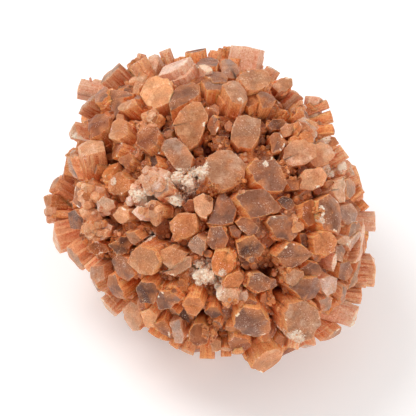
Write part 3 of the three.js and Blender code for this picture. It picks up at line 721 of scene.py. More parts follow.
def knobs():
    """Kind, place, reach in millimetres, number and width of the crystals of every knob."""
    rows = []
    for kind, right, down, spread, count, width in KNOBS:
        rows.append((kind, patch_place(right, down), spread * STEP, count, width))
    for index in range(FAR_KNOB_COUNT):
        reach = between(1.5, 2.8, chance(index, 310))
        kind = any_kind(FAR_KNOB_KINDS, index, 311)
        count = int(reach * reach * FAR_KNOB_DENSITY)
        rows.append((kind, far_place(index, 312), reach, count, between(1.0, 1.9, chance(index, 313))))
    return rows


def chalkiness(points):
    """How much chalk lies at each place, 0 to 1."""
    most = np.zeros(len(points))
    for place, reach, _ in crust_patches():
        outward = unit(place)
        offset = points - place
        height = offset @ outward
        away = np.linalg.norm(offset - np.outer(height, outward), axis=1)
        here = np.clip((1.5 * reach - away) / (1.2 * reach), 0, 1) * np.clip(2 - np.abs(height) / 5, 0, 1)
        most = np.maximum(most, here)
    return most


# ---- mesh of one crystal
def turned_area(outline):
    """Twice the area of an outline, above 0 where it runs anticlockwise."""
    after = np.roll(outline, -1, axis=0)
    return (outline[:, 0] * after[:, 1] - outline[:, 1] * after[:, 0]).sum()


def ribbed_outline(outline, seed, spacing, rib, coarse):
    """The outline anticlockwise with its corners kept, its edges broken into shallow ribs and steps."""
    corners = outline if turned_area(outline) > 0 else outline[::-1]
    places, at, walked = [], [], 0.0
    for k, start in enumerate(corners):
        end = corners[(k + 1) % len(corners)]
        length = np.linalg.norm(end - start)
        along = (end - start) / length
        out = np.array([along[1], -along[0]])
        ribs = max(1, int(round(length / between(0.7, 1.5, chance(seed, 100 + k)) / coarse)))
        cuts = [0.0]
        for j in range(ribs):
            cuts.append(cuts[-1] + between(0.45, 1.55, chance(seed, 110 + 13 * k + j)))
        cuts = np.array(cuts) / cuts[-1] * length
        for j in range(ribs):
            shift = between(-1, 1, chance(seed, 240 + 13 * k + j)) * rib
            pieces = max(1, int((cuts[j + 1] - cuts[j]) / spacing))
            for i in range(pieces + 1):
                place = between(cuts[j], cuts[j + 1], i / pieces)
                place += 0.03 if i == 0 else -0.03 if i == pieces else 0
                places.append(start + along * place + out * shift)
                at.append(walked + place)
        walked += length
    return np.array(places), np.array(at), walked


def outward_normals(path):
    along = np.roll(path, -1, axis=0) - np.roll(path, 1, axis=0)
    normals = np.column_stack([along[:, 1], -along[:, 0]])
    return normals / np.linalg.norm(normals, axis=1)[:, None]


def ring_noise(at, length, cell, seed, height=0.0):
    """Noise that closes on itself round an outline."""
    turns = 2 * math.pi * at / length
    radius = length / cell / (2 * math.pi)
    heights = np.full(len(at), height)
    return noise(np.column_stack([np.cos(turns) * radius, np.sin(turns) * radius, heights]), seed)


def end_relief(seed, size, small, middle):
    """The height of one crystal's end as a function of place: swells, a tilt, a dome, a step and facets."""
    tilt = leans(0.06, seed, 41, 42)
    dome = between(0.0, 0.022, chance(seed, 47)) / max(1, size / 6)
    step_towards = any_turn(seed, 43)[:2]
    step_at = between(-0.25, 0.3, chance(seed, 44)) * size
    step = between(0.12, 0.45, chance(seed, 45)) * (chance(seed, 46) > 0.4)
    facets = []
    for k in range(int(chance(seed, 38) * 4)):
        start = between(0.02, 0.3, chance(seed, 49 + 200 * k)) * size
        slope = between(0.1, 0.45, chance(seed, 39 + 200 * k))
        facets.append((any_turn(seed, 48 + 200 * k)[:2], start, slope))

    def height(places):
        flat = np.column_stack([places, np.zeros(len(places))])
        swell = 0.16 * noise(flat / 3.1, seed + 3) + 0.07 * noise(flat / 1.2, seed + 4)
        edge = places @ step_towards - step_at + 0.7 * noise(flat / 1.7, seed + 5)
        fall = 0
        for towards, start, slope in facets:
            fall = fall + slope * np.maximum(0, (places - middle) @ towards - start)
        return (
            small * swell
            + places @ tilt
            - dome * ((places - middle) ** 2).sum(axis=1)
            - small * step / (1 + np.exp(-edge / 0.1))
            - fall
        )

    return height


def side_ledges(seed, girth, count):
    """Ledges on the flanks: where each starts, its middle and half width round the flanks, its depth."""
    return [
        (
            between(1.0, 5.5, chance(seed, 51 + k)),
            chance(seed, 56 + k) * girth,
            between(0.1, 0.24, chance(seed, 61 + k)) * girth,
            between(0.25, 0.7, chance(seed, 66 + k)),
        )
        for k in range(count)
    ]


def prism_rows(grown, spacing=ARC_STEP, length=None, coarse=1.0):
    """One crystal as closed rows of vertices with their surface values; coarse over 1 has fewer rows."""
    seed, size = grown["seed"], width_of(grown)
    small = min(1, size / RELIEF_WIDTH)
    ribbed = chance(seed, 37) ** 2
    rib = between(0.012, 0.13, ribbed) * small
    path, at, girth = ribbed_outline(grown["outline"], seed, spacing, rib, coarse)
    wobble = 0.08 * ring_noise(at, girth, 2.2, seed) + 0.07 * ring_noise(at, girth, 0.8, seed + 1)
    chip = np.clip(ring_noise(at, girth, 1.6, seed + 2) - 0.4, 0, 1)
    path = path + outward_normals(path) * ((wobble - 0.8 * chip) * small)[:, None]
    normals = outward_normals(path)
    middle = path.mean(axis=0)
    bevel = between(0.05, 0.16, chance(seed, 40)) * small * (1 + 0.9 * ring_noise(at, girth, 2.4, seed + 8))
    bevel = np.maximum(bevel, 0.03)
    height = end_relief(seed, size, small, middle)
    rows, marks = [], []

    def add_row(places, heights, end, from_rim, drop):
        rows.append(np.column_stack([places, heights]))
        marks.append(np.column_stack([np.full(len(at), end), from_rim, np.full(len(at), drop), at]))

    radius = np.linalg.norm(path - middle, axis=1)
    rings = int(np.clip(size / 2 / (RING_WIDTH * coarse), 3 if coarse == 1 else 2, MOST_RINGS))
    for ring in range(1, rings + 1):
        share = (ring / rings) ** 0.85
        inner = middle + (path - middle) * (share * (1 - bevel / radius))[:, None]
        add_row(inner, height(inner), 1.0, radius * (1 - share), 0.0)
    edge_height = height(path)
    add_row(path, edge_height - bevel * 0.55, 0.35, 0 * at, 0.0)

    deep = length or np.linalg.norm(grown["tip"]) * ROOT_SHARE
    ledges = side_ledges(seed, girth, int(chance(seed, 50) * 4) if size > LEDGE_WIDTH else 0)
    drops = [drop for drop in SIDE_DROPS[:: 1 if coarse < 1.5 else 2] if drop < deep] + [deep]
    for ledge in ledges:
        drops += [ledge[0] - 0.05, ledge[0] + 0.1]
    for drop in sorted(drops):
        groove = between(0.03, 0.08, ribbed) * ring_noise(at, girth, 0.5, seed + 6, drop / 9)
        groove += between(0.05, 0.11, ribbed) * ring_noise(at, girth, 1.2, seed + 7, drop / 7)
        push = groove * min(1, drop / 0.8) * small
        for start, centre, half, out in ledges:
            away = np.abs((at - centre + girth / 2) % girth - girth / 2)
            push = push + (drop > start) * out / (1 + np.exp((away - half) / 0.12))
        add_row(path + normals * push[:, None], edge_height - bevel - drop, 0.0, 0 * at, drop)
    return np.array(rows), np.array(marks), middle, height(middle[None])[0], deep


def placed(name, data):
    made = bpy.data.objects.new(name, data)
    bpy.context.scene.collection.objects.link(made)
    return made


class Heap:
    """Closed shells gathered for one mesh, with the values that its material reads."""

    def __init__(self):
        self.points, self.faces, self.marks, self.tints = [], [], [], []
        self.count = 0

    def add(self, points, faces, marks, tint):
        """Five marks to a point: end, way from its rim, drop, way round, stripes. Seven numbers of colour."""
        self.points.append(points)
        self.faces += [tuple(i + self.count for i in face) for face in faces]
        self.marks.append(marks)
        self.tints.append(np.tile(tint, (len(points), 1)))
        self.count += len(points)

    def add_crystal(self, grown, tint, **how):
        rows, marks, middle, centre_height, deep = prism_rows(grown, **how)
        count, around = rows.shape[:2]
        local = np.vstack([rows.reshape(-1, 3), [[*middle, centre_height], [*middle, -deep]]])
        points = (
            grown["tip"]
            + np.outer(local[:, 0], grown["side"])
            + np.outer(local[:, 1], grown["up"])
            + np.outer(local[:, 2], grown["axis"])
        )
        centre, root = count * around, count * around + 1
        last = (count - 1) * around
        faces = []
        for k in range(around):
            after = (k + 1) % around
            faces.append((centre, k, after))
            for row in range(0, last, around):
                a, b = row + k, row + after
                faces.append((a, a + around, b + around, b))
            faces.append((last + k, root, last + after))
        ends = [[1.0, np.hypot(*(rows[0, 0, :2] - middle)), 0, 0], [0, 0, deep, 0]]
        own = np.vstack([marks.reshape(-1, 4), ends])
        stripes = STRIPE_STRENGTH.get(grown["kind"], chance(grown["seed"], 70))
        self.add(points, faces, np.column_stack([own, np.full(len(own), stripes)]), tint)

    def mesh_object(self, name, material, sharp_angle=SHARP_ANGLE, openness=0.0):
        points, marks, tints = np.vstack(self.points), np.vstack(self.marks), np.vstack(self.tints)
        mesh = bpy.data.meshes.new(name)
        places = to_part(points)
        places[:, 2] = np.maximum(places[:, 2], 0)
        mesh.from_pydata(places.tolist(), [], self.faces)
        full = np.ones(len(marks))
        for key, value in {
            "growth": np.column_stack([marks[:, :3], full]),
            "lines": np.column_stack([marks[:, [3, 2, 4]], full]),
            "tint": np.column_stack([tints[:, :3], full]),
            "flank": tints[:, 3:],
        }.items():
            layer = mesh.attributes.new(key, "FLOAT_COLOR", "POINT")
            layer.data.foreach_set("color", value.astype(np.float32).ravel())
        # The share of the form, with openness added, sets where the painted crevice shade falls.
        for key, value in {"depth": share_of_form(points) + openness, "chalk": chalkiness(points)}.items():
            level = mesh.attributes.new(key, "FLOAT", "POINT")
            level.data.foreach_set("value", value.astype(np.float32))
        mesh.shade_smooth()
        mesh.set_sharp_from_angle(angle=math.radians(sharp_angle))
        mesh.materials.append(material)
        mesh.update()
        made = placed(name, mesh)
        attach(made, BODY)
        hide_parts(NODE)


# ---- what grows between the large crystals
def grown_trees():
    """The pieces made so far, ready for lines to be drawn to them."""
    graph = bpy.context.evaluated_depsgraph_get()
    return [
        BVHTree.FromObject(piece, graph)
        for piece in bpy.context.scene.objects
        if piece.type == "MESH" and piece.name.startswith(("crystals_", "stone_body", "knobs"))
    ]


def surface_under(trees, place, start):
    """Where a line from outside a place to the growth centre meets the pieces: the place and normal there,
    and whether it's well above the floor."""
    outside = to_part(place * start)
    nearest = None
    for tree in trees:
        hit, normal, _, distance = tree.ray_cast(Vector(outside), Vector(GROWTH_CENTRE * MM - outside))
        if hit is not None and (nearest is None or distance < nearest[2]):
            nearest = (np.array(hit), np.array(normal), distance)
    hit, normal, _ = nearest
    return to_face(hit), normal @ STANDING, hit[2] >= LEAST_HEIGHT * MM


def spots_round(trees, middle, reach, count, seed):
    """Places on the pieces round a place on the form: seed, place, normal and share of the reach."""
    outward = unit(middle)
    side = flatten(np.array([1.0, 0.2, 0.1]), outward)
    up = np.cross(outward, side)
    for own in range(seed, seed + count):
        i = own - seed
        angle = i * GOLDEN_ANGLE + between(-0.5, 0.5, chance(own, 20))
        share = math.sqrt((i + chance(own, 21)) / count)
        spot = middle + (side * math.cos(angle) + up * math.sin(angle)) * reach * share
        place, normal, clear = surface_under(trees, spot, SPOT_START)
        if clear:
            yield own, place, normal, share


def hides_an_end(tip, width, shown):
    """Whether a crystal with this tip and width would stand in front of one of the shown ends."""
    for other in shown:
        offset = tip - other["tip"]
        if offset @ other["axis"] < -HIDING_DEPTH or np.linalg.norm(offset) > HIDING_REACH:
            continue
        place = np.array([offset @ other["side"], offset @ other["up"]])
        outline = other["outline"]
        edge = np.roll(outline, -1, axis=0) - outline
        across = edge[:, 0] * (place - outline)[:, 1] - edge[:, 1] * (place - outline)[:, 0]
        inside = np.sign(turned_area(outline)) * across / np.hypot(*edge.T)
        if (inside > -HIDING_OVERLAP * width).all():
            return True
    return False


def side_growth(parents, shown):
    """Lower crystals grown against the flanks of larger ones, nearly parallel to them."""
    grown = []
    for parent in parents:
        width = width_of(parent)
        if width < LEAST_PARENT_WIDTH:
            continue
        seed = SIDE_SEED + SIDE_SEED_STEP * parent["seed"]
        count = 1 + int(chance(seed, 0) * 3)
        for k in range(count):
            own = seed + k + 1
            angle = 2 * math.pi * (k + chance(own, 1)) / count
            towards = parent["side"] * math.cos(angle) + parent["up"] * math.sin(angle)
            depths = SHOWN_SIDE_DEPTHS if towards[2] > 0.2 and parent["tip"][2] > 0 else SIDE_DEPTHS
            tip = parent["tip"] + towards * width / 2 * between(0.75, 1.1, chance(own, 3))
            tip = tip - parent["axis"] * between(*depths, chance(own, 2))
            axis = unit(parent["axis"] + towards * between(-0.03, 0.16, chance(own, 4)))
            size = width * between(0.28, 0.55, chance(own, 5))
            kind = any_kind(SIDE_KINDS, own, 6)
            if not hides_an_end(tip, size, shown):
                grown.append(crystal_from_size(kind, tip, axis, towards, size, size * 0.85, own))
    return grown


def in_dark_pocket(place):
    if place[2] < 0:
        return False
    for right, down, reach in DARK_POCKETS:
        x, y = grid_place(right, down)
        if math.hypot(place[0] - x, place[1] - y) < reach * STEP:
            return True
    return False


def open_gaps(trees):
    """Places on the form with nothing large near, the widest gaps first: number, place and room round it."""
    places = spread_over_form(GAP_TRIES)
    reached = np.array([share_of_form(surface_under(trees, place, FORM_START)[0]) for place in places])
    closed = places[reached > GAP_SHARE]
    gaps = np.where(reached <= GAP_SHARE)[0]
    tree = KDTree(len(closed))
    for index, place in enumerate(closed):
        tree.insert(place, index)
    tree.balance()
    room = np.array([tree.find(place)[2] for place in places[gaps]])
    return [(int(gaps[k]), places[gaps[k]], room[k]) for k in np.argsort(-room, kind="stable")]


def gap_crystals(trees, shown):
    """Crystals that fill what lies open between the large ones."""
    grown, filled, rooms = [], np.zeros((0, 3)), np.zeros(0)
    for index, place, room in open_gaps(trees):
        if in_dark_pocket(place) or room < LEAST_GAP or to_part(place)[2] < LEAST_HEIGHT * MM:
            continue
        if (np.linalg.norm(filled - place, axis=1) < 0.85 * (rooms + room)).any():
            continue
        seed = GAP_SEED + index
        least, most = GAP_WIDTHS
        width = min(most, max(least, 2 * room * between(1.1, 1.45, chance(seed, 1))))
        shares = HIGH_GAP_SHARES if chance(seed, 8) > 1 - HIGH_GAP_PART else LOW_GAP_SHARES
        tip = place * between(*shares, chance(seed, 0))
        if hides_an_end(tip, width, shown):
            continue
        axis = unit(outward_at(tip) + leans(0.42, seed, 2, 3, 4))
        kind = any_kind(GAP_KINDS, seed, 6)
        outline = broken_end(width, width * between(0.62, 1, chance(seed, 7)), seed)
        grown.append(crystal(kind, tip, axis, any_turn(seed, 5, 0.2), outline, seed))
        filled = np.vstack([filled, place])
        rooms = np.append(rooms, room)
    return grown


def add_tiny_crystal(heap, place, axis, width, lift, seed, colours):
    """One tiny six-sided crystal that stands on a place."""
    tall = lift + width * between(0.3, 0.9, chance(seed, 4))
    across = flatten(any_turn(seed, 5, 0.3), axis)
    up = np.cross(axis, across)
    outline = six_sided_end(width, width * between(0.6, 1, chance(seed, 8)), seed)
    slant = leans(0.25, seed, 9, 40)
    rows = []
    for grow, rise in ((0.82, tall), (1.0, tall - 0.12 * width), (1.0, -TINY_ROOT)):
        slope = (outline @ slant)[:, None] * axis if rise > 0 else 0
        rows.append(place + (outline * grow) @ np.array([across, up]) + axis * rise + slope)
    points = np.vstack([*rows, place + axis * tall * 1.04, place - axis * TINY_ROOT])
    faces = []
    for k in range(6):
        after = (k + 1) % 6
        faces += [(18, k, after), (12 + k, 19, 12 + after)]
        for row in (0, 6):
            faces.append((row + k, row + 6 + k, row + 6 + after, row + after))
    per_row = [6, 6, 6, 1, 1]
    drops = np.repeat([0.0, 0.0, 1.5, 0.0, 1.5], per_row)
    ends = np.repeat([1.0, 0.4, 0.0, 1.0, 0.0], per_row)
    marks = np.column_stack([ends, ends * 0.9, drops, np.arange(20) * 0.2, np.full(20, chance(seed, 6))])
    heap.add(points, faces, marks, colours)


def round_ball(subdivisions):
    """Points and faces of a ball with a radius of 1."""
    shape = bmesh.new()
    bmesh.ops.create_icosphere(shape, subdivisions=subdivisions, radius=1)
    shape.verts.index_update()
    points = np.array([corner.co[:] for corner in shape.verts])
    faces = [tuple(corner.index for corner in face.verts) for face in shape.faces]
    shape.free()
    return points, faces


# ---- shader maths
class Wire:
    """A socket of a material's nodes: sums and products of wires add the nodes that work them out."""

    def __init__(self, tree, socket=None):
        self.tree, self.socket = tree, socket

    def node(self, kind, settings=None, sockets=None, output=0):
        made = self.tree.nodes.new(kind)
        for key, value in (settings or {}).items():
            setattr(made, key, value)
        for key, value in (sockets or {}).items():
            if isinstance(value, Wire):
                self.tree.links.new(value.socket, made.inputs[key])
            else:
                made.inputs[key].default_value = value
        return Wire(self.tree, made.outputs[output] if made.outputs else None)

    def maths(self, operation, first, second):
        return self.node("ShaderNodeMath", {"operation": operation}, {0: first, 1: second})

    def __add__(self, other):
        return self.maths("ADD", self, other)

    __radd__ = __add__

    def __mul__(self, other):
        return self.maths("MULTIPLY", self, other)

    __rmul__ = __mul__

    def __sub__(self, other):
        return self.maths("SUBTRACT", self, other)

    def __rsub__(self, other):
        return self.maths("SUBTRACT", other, self)

    def smooth(self, low, high):
        """0 below low, 1 above high, and an even curve between; high may be the smaller."""
        ends = {"Value": self, "From Min": low, "From Max": high}
        return self.node("ShaderNodeMapRange", {"interpolation_type": "SMOOTHSTEP"}, ends)

    def frayed(self, cloud, amount):
        """This wire, pushed to and fro by a cloud."""
        return self + (cloud - 0.5) * amount

    def blend(self, first, second):
        """The first colour where this wire is 0, the second where it is 1."""
        return self.node("ShaderNodeMix", {"data_type": "RGBA"}, {0: self, 6: first, 7: second}, 2)

    def tinted(self, colour):
        """This colour multiplied by another, or by a wire of numbers."""
        settings = {"data_type": "RGBA", "blend_type": "MULTIPLY"}
        return self.node("ShaderNodeMix", settings, {0: 1.0, 6: self, 7: colour}, 2)

    def stretched(self, scale):
        return self.node("ShaderNodeVectorMath", {"operation": "MULTIPLY"}, {0: self, 1: scale})

    def cloud(self, scale, detail=2.0, roughness=0.5):
        """Noise of about 0.3 to 0.7 at this place."""
        sockets = {"Vector": self, "Scale": scale, "Detail": detail, "Roughness": roughness}
        return self.node("ShaderNodeTexNoise", {}, sockets)

    def parts(self):
        """The three numbers of a vector."""
        first = self.node("ShaderNodeSeparateXYZ", {}, {0: self})
        return [Wire(self.tree, out) for out in first.socket.node.outputs]

    def carried(self, name, output):
        """A value that the mesh carries."""
        return self.node("ShaderNodeAttribute", {"attribute_name": name}, output=output)

    def place(self):
        """Where the surface is, in millimetres."""
        return self.node("ShaderNodeTexCoord", output="Object").stretched((1 / MM,) * 3)

    def bump(self, strength, distance):
        return self.node("ShaderNodeBump", {}, {"Strength": strength, "Distance": distance, "Height": self})

    def show(self, sockets):
        """The surface that these sockets give, as the material's output."""
        shader = self.node("ShaderNodeBsdfPrincipled", {}, sockets)
        self.node("ShaderNodeOutputMaterial", {}, {"Surface": shader})


def empty_material(name):
    material = bpy.data.materials.new(name)
    material.use_nodes = True
    material.node_tree.nodes.clear()
    return material, Wire(material.node_tree)


def rgba(colour):
    return (*colour[:3], 1.0)


class CrystalSurface:
    """What the colours of a crystal are worked out from: values that the mesh carries, clouds and stripes."""

    def __init__(self, start, looks):
        self.looks = looks
        self.end, self.from_rim, self.drop = start.carried("growth", "Vector").parts()
        self.lines = start.carried("lines", "Vector")
        self.tint = start.carried("tint", "Color")
        self.flank = start.carried("flank", "Color")
        self.paleness = start.carried("flank", "Alpha")
        self.place = start.place()
        self.soft = self.place.cloud(0.28, 3.0, 0.6)
        self.fine = self.place.cloud(1.4, 4.0, 0.65)
        self.grain = self.place.cloud(3.6, 3.0, 0.7)
        self.stripes = self.streaks(1.5, 0.1, 3.0, 0.6)
        self.thin_stripes = self.streaks(3.2, 0.16)

    def streaks(self, across, down, detail=2.0, roughness=0.5):
        """Noise drawn out along the crystal, or that only changes round it where down is 0."""
        return self.lines.stretched((across, down, CRYSTALS_APART)).cloud(1.0, detail, roughness)

    def end_colour(self):
        """Clouded, turning to the colour of the flanks towards parts of the rim, partly as painted glow, with
        a broken pale edge of painted highlight and painted glints.
        """
        looks, place, from_rim = self.looks, self.place, self.from_rim
        light = place.cloud(0.13, 1.0).smooth(0.35, 0.65) * 0.24 + self.soft.smooth(0.36, 0.64) * 0.26 + 0.77
        # Towards parts of the rim the end turns to its flank colour: partly the flank seen through the clear
        # rim, partly painted glow of light passing through it.
        glowing_border = from_rim.frayed(self.soft, 4.0).smooth(3.2, 0.0)
        glowing_border = glowing_border * self.streaks(0.15, 0, 1.0).smooth(0.44, 0.62)
        colour = (glowing_border * 0.42).blend(self.tint.tinted(light), self.flank)
        patches = place.cloud(0.24).smooth(0.47, 0.63)
        colour = (patches * 0.42).blend(colour, rgba(looks.end_orange))
        ridged = {"noise_type": "RIDGED_MULTIFRACTAL"}
        veins = place.node("ShaderNodeTexNoise", ridged, {"Vector": place, "Scale": 0.55, "Detail": 3.0})
        pale = place.cloud(0.3, 2.0, 0.45).smooth(0.54, 0.68)
        milk = (veins.smooth(0.6, 1.4) * 0.3 + pale * 0.75) * (1 - self.paleness * 0.6)
        colour = milk.blend(colour, self.tint.tinted(MILKY))
        # Painted highlight: a broken pale line along the rim of each end.
        edge = from_rim.frayed(self.fine, 0.9).smooth(0.3, 0.0) * self.streaks(0.9, 0, 1.0).smooth(0.5, 0.6)
        colour = (edge * 0.5).blend(colour, rgba(looks.edge))
        # Painted glints: rare short white streaks near the rim, in the chalk colour.
        painted_glint = from_rim.frayed(self.grain, 1.4).smooth(0.45, 0.3)
        painted_glint = painted_glint * self.streaks(0.32, 0).smooth(0.645, 0.665)
        return (painted_glint * 0.9).blend(colour, rgba(looks.chalk))

    def flank_colour(self):
        """Striped along the crystal, some strongly, with painted light that makes them paler near the end and
        painted shade that makes them deep orange low down.
        """
        flank, paleness, thin = self.flank, self.paleness, self.thin_stripes
        striped = self.lines.parts()[2].smooth(-0.3, 1.3) * 1.3 + 0.4
        bands = self.stripes.smooth(0.38, 0.62) * 0.6 + self.streaks(0.75, 0.05).smooth(0.4, 0.6) * 0.5
        bands = (bands - 0.55) * striped + 0.5 + paleness * 0.12
        dark, light = (flank.tinted(paleness.blend(*pair)) for pair in (DARK_BANDS, LIGHT_BANDS))
        colour = bands.blend(dark, light)
        # Painted light: flanks paler near the end, where light reaches them.
        near = self.drop.frayed(self.soft, 4).smooth(3.4, 0.2)
        colour = (near * 0.5).blend(colour, flank.tinted(paleness.blend(*PAINTED_LIGHT_NEAR_END)))
        colour = (thin.smooth(0.58, 0.72) * striped * 0.5).blend(colour, rgba(self.looks.milk))
        colour = (thin.smooth(0.43, 0.3) * striped * 0.5).blend(colour, flank.tinted(DARK_LINES))
        # Painted shade: flanks darker and deeper orange low down, far below the end.
        low = self.drop.frayed(self.soft, 5).smooth(1.5, 9.0)
        return (low * (0.8 - paleness * 0.35)).blend(colour, flank.tinted(PAINTED_SHADE_LOW_FLANK))

    def gritty(self, colour):
        """A colour broken up by dark and pale grit."""
        grit = ((self.fine - 0.5) * 1.4 + (self.grain - 0.5) * 2.2) * (1 - self.end * 0.25) + 0.5
        light_grit = self.end.blend(self.paleness.blend(*LIGHT_GRIT), LIGHT_GRIT[0])
        return grit.blend(colour.tinted(DARK_GRIT), colour.tinted(light_grit))

    def relief(self):
        """How high the surface stands: fine grit, and stripes on the flanks."""
        grit = (self.fine * 0.8 + self.grain * 0.4) * (1 - self.end * 0.6)
        return grit + (1 - self.end) * (self.stripes * 1.2 + self.thin_stripes * 0.6)


def aragonite_material(name, looks, roughness, glow_reach, glow_tint):
    """Crystal surface: clouded ends and striped flanks with painted shade that darkens them in the crevices,
    with white specks of dust and painted sparkle, and chalk.
    """
    material, start = empty_material(name)
    made = CrystalSurface(start, looks)
    colour = made.gritty(made.end.blend(made.flank_colour(), made.end_colour()))
    # Painted shade: the colour turns to the crevice shade where a place lies deep in the form, between the
    # crystals.
    crevice_shade = start.carried("depth", "Fac").smooth(0.89, 0.785)
    colour = (crevice_shade * 0.88).blend(colour, rgba(looks.crevice_shade))
    # White specks, partly dust and partly painted sparkle, kept out of the painted crevice shade.
    dust_and_sparkle = (made.grain * 0.7 + made.soft * 0.3).smooth(0.593, 0.65) * (1 - crevice_shade) * 0.9
    colour = dust_and_sparkle.blend(colour, rgba(looks.chalk))
    chalk = start.carried("chalk", "Fac")
    powder = chalk * 0.55 + (made.grain - 0.5) * 0.5 + (made.fine - 0.5) * 0.9
    powder = powder.smooth(0.12, 0.42) * chalk.smooth(0.0, 0.3)
    colour = (powder * 0.85).blend(colour, rgba(looks.chalk))
    start.show({
        "Base Color": colour,
        "Roughness": roughness + (made.fine - 0.5) * 0.6 + dust_and_sparkle * 0.3,
        "Normal": made.relief().bump(1.0, 0.3 * MM),
        "Specular IOR Level": 0.28,
        "Subsurface Weight": looks.glow,
        "Subsurface Radius": glow_tint,
        "Subsurface Scale": glow_reach * MM,
    })
    return material


def chalk_material(name, looks):
    """Chalky white crust with warm stains."""
    material, start = empty_material(name)
    own = start.carried("growth", "Vector").parts()[0]
    place = start.place()
    fine = place.cloud(2.4, 4.0, 0.7)
    stain = place.cloud(0.6, 3.0, 0.6).smooth(0.42, 0.62) * 0.4 + own.smooth(0.55, 0.8) * 0.6
    start.show({
        "Base Color": stain.blend(rgba(looks.chalk), rgba(looks.chalk_stain)).tinted(fine * 0.6 + 0.78),
        "Roughness": 0.75 + (fine - 0.5) * 0.4,
        "Normal": fine.bump(0.6, 0.2 * MM),
        "Subsurface Weight": 0.4,
        "Subsurface Radius": (1.0, 0.95, 0.9),
        "Subsurface Scale": 0.08 * MM,
    })
    return material


def floor_material(name, looks):
    """Plain white paper that glows a little."""
    material, start = empty_material(name)
    start.show({
        "Base Color": rgba(looks.floor),
        "Roughness": 0.9,
        "Specular IOR Level": 0.1,
        "Emission Color": rgba(looks.floor),
        "Emission Strength": FLOOR_GLOW,
    })
    return material


def shared_material(name, *finish):
    return bpy.data.materials.get(name) or aragonite_material(name, *finish)


def crystal_surface(looks):
    return shared_material("aragonite_crystal", looks, 0.36, 0.8, (1.0, 0.72, 0.55))


def druse_surface(looks):
    return shared_material("aragonite_druse", looks, 0.4, 0.08, (1.0, 0.9, 0.85))


# ---- what a user may change
def colour_property(name, description, default):
    return bpy.props.FloatVectorProperty(
        name=name, description=description, default=default, subtype="COLOR", size=3, min=0, max=1
    )


def share_property(name, description, default, least, most):
    return bpy.props.FloatProperty(
        name=name, description=description, default=default, min=least, max=most, subtype="FACTOR"
    )


def length_property(name, description, default, least):
    return bpy.props.FloatProperty(
        name=name, description=description, default=default, min=least, unit="LENGTH"
    )


class AragoniteLooks(bpy.types.PropertyGroup):
    """Colours of the crystals, crust and floor."""

    end_orange: colour_property("Orange patches", "Orange clouds in the ends", (0.62, 0.22, 0.075))
    milk: colour_property("Milky veins", "Thin pale lines along the flanks", (0.97, 0.66, 0.44))
    # Colour of the painted highlight along the rim of each end.
    edge: colour_property("End edge", "Thin pale edge round each end", (0.75, 0.42, 0.25))
    flank: colour_property("Flank", "Striped flanks of most crystals", (0.90, 0.34, 0.113))
    pale_flank: colour_property("Pale flank", "Flanks of the pale crystals", (0.98, 0.53, 0.3))
    # Colour of the painted shade deep between the crystals, which also covers the stone there.
    crevice_shade: colour_property("Crevice", "Stone deep between the crystals", (0.19, 0.018, 0.002))
    # Also the colour of the painted glints and of the specks of dust and painted sparkle.
    chalk: colour_property("Chalk", "White crust and dust", (1.0, 0.82, 0.66))
    chalk_stain: colour_property("Chalk stain", "Warm stains in the crust", (0.66, 0.30, 0.14))
    floor: colour_property("Floor", "Colour of the floor", (0.92, 0.92, 0.92))
    glow: share_property("Glow", "How much light passes into the crystals", 0.9, 0, 1)


for letter, (title, words, value) in KIND_COLOURS.items():
    AragoniteLooks.__annotations__["end_" + letter] = colour_property(title, words, value)


class AragoniteSizes(bpy.types.PropertyGroup):
    """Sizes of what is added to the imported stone."""

    body_share: share_property("Body", "Stone between the crystals, as a share of the form", 0.79, 0.5, 0.9)
    druse_count: bpy.props.IntProperty(
        name="Druse crystals", description="Places tried for tiny crystals", default=9000, min=0, max=40000
    )
    camera_distance: length_property("Camera distance", "From the camera to the growth centre", 2.0, 0.3)
    view_width: length_property("View width", "Width of the picture at the growth centre", 0.104, 0.05)


def colours_of(kind, seed, looks):
    """Seven numbers: the colour of a crystal's end and of its flanks, slightly varied, and their paleness."""
    end = np.array(getattr(looks, "end_" + kind))
    pale = FLANK_PALENESS.get(kind, 0.0)
    flank = np.array(looks.flank) * (1 - min(1, pale)) + np.array(looks.pale_flank) * min(1, pale)
    flank_light = between(0.85, 1.15, chance(seed, 73))
    if kind == "W":
        # whitish crystals are nearly as pale on their flanks as on their ends
        flank = flank * 0.4 + end * 0.6
        flank_light = 1.08
    light = between(0.93, 1.07, chance(seed, 71))
    warm = between(-0.06, 0.06, chance(seed, 72))
    return np.concatenate([end * light * [1 + warm, 1, 1 - 2 * warm], flank * flank_light, [pale]])


def grow_group(name, crystals, looks, openness=0.0, **how):
    heap = Heap()
    for grown in crystals:
        heap.add_crystal(grown, colours_of(grown["kind"], grown["seed"], looks), **how)
    heap.mesh_object(name, crystal_surface(looks), openness=openness)


# ---- operators
class ARAGONITE_OT_body(bpy.types.Operator):
    """Grow the rough stone between the crystals"""

    bl_idname = "aragonite.body"
    bl_label = "Stone body"

    def execute(self, context):
        looks, sizes = context.scene.aragonite_looks, context.scene.aragonite_sizes
        points, faces = round_ball(6)
        rough = 0.03 * noise(points * 7, 11) + 0.016 * noise(points * 22, 12) + 0.01 * noise(points * 55, 13)
        places = (points * (sizes.body_share + rough)[:, None]) @ FROM_UNIT_BALL.T
        marks = np.column_stack([np.zeros(len(points)), np.full((len(points), 2), 2.0), points[:, :2] * 20])
        heap = Heap()
        heap.add(places, faces, marks, colours_of("R", 1, looks))
        heap.mesh_object("stone_body", crystal_surface(looks), sharp_angle=STONE_SHARP_ANGLE)
        return {"FINISHED"}


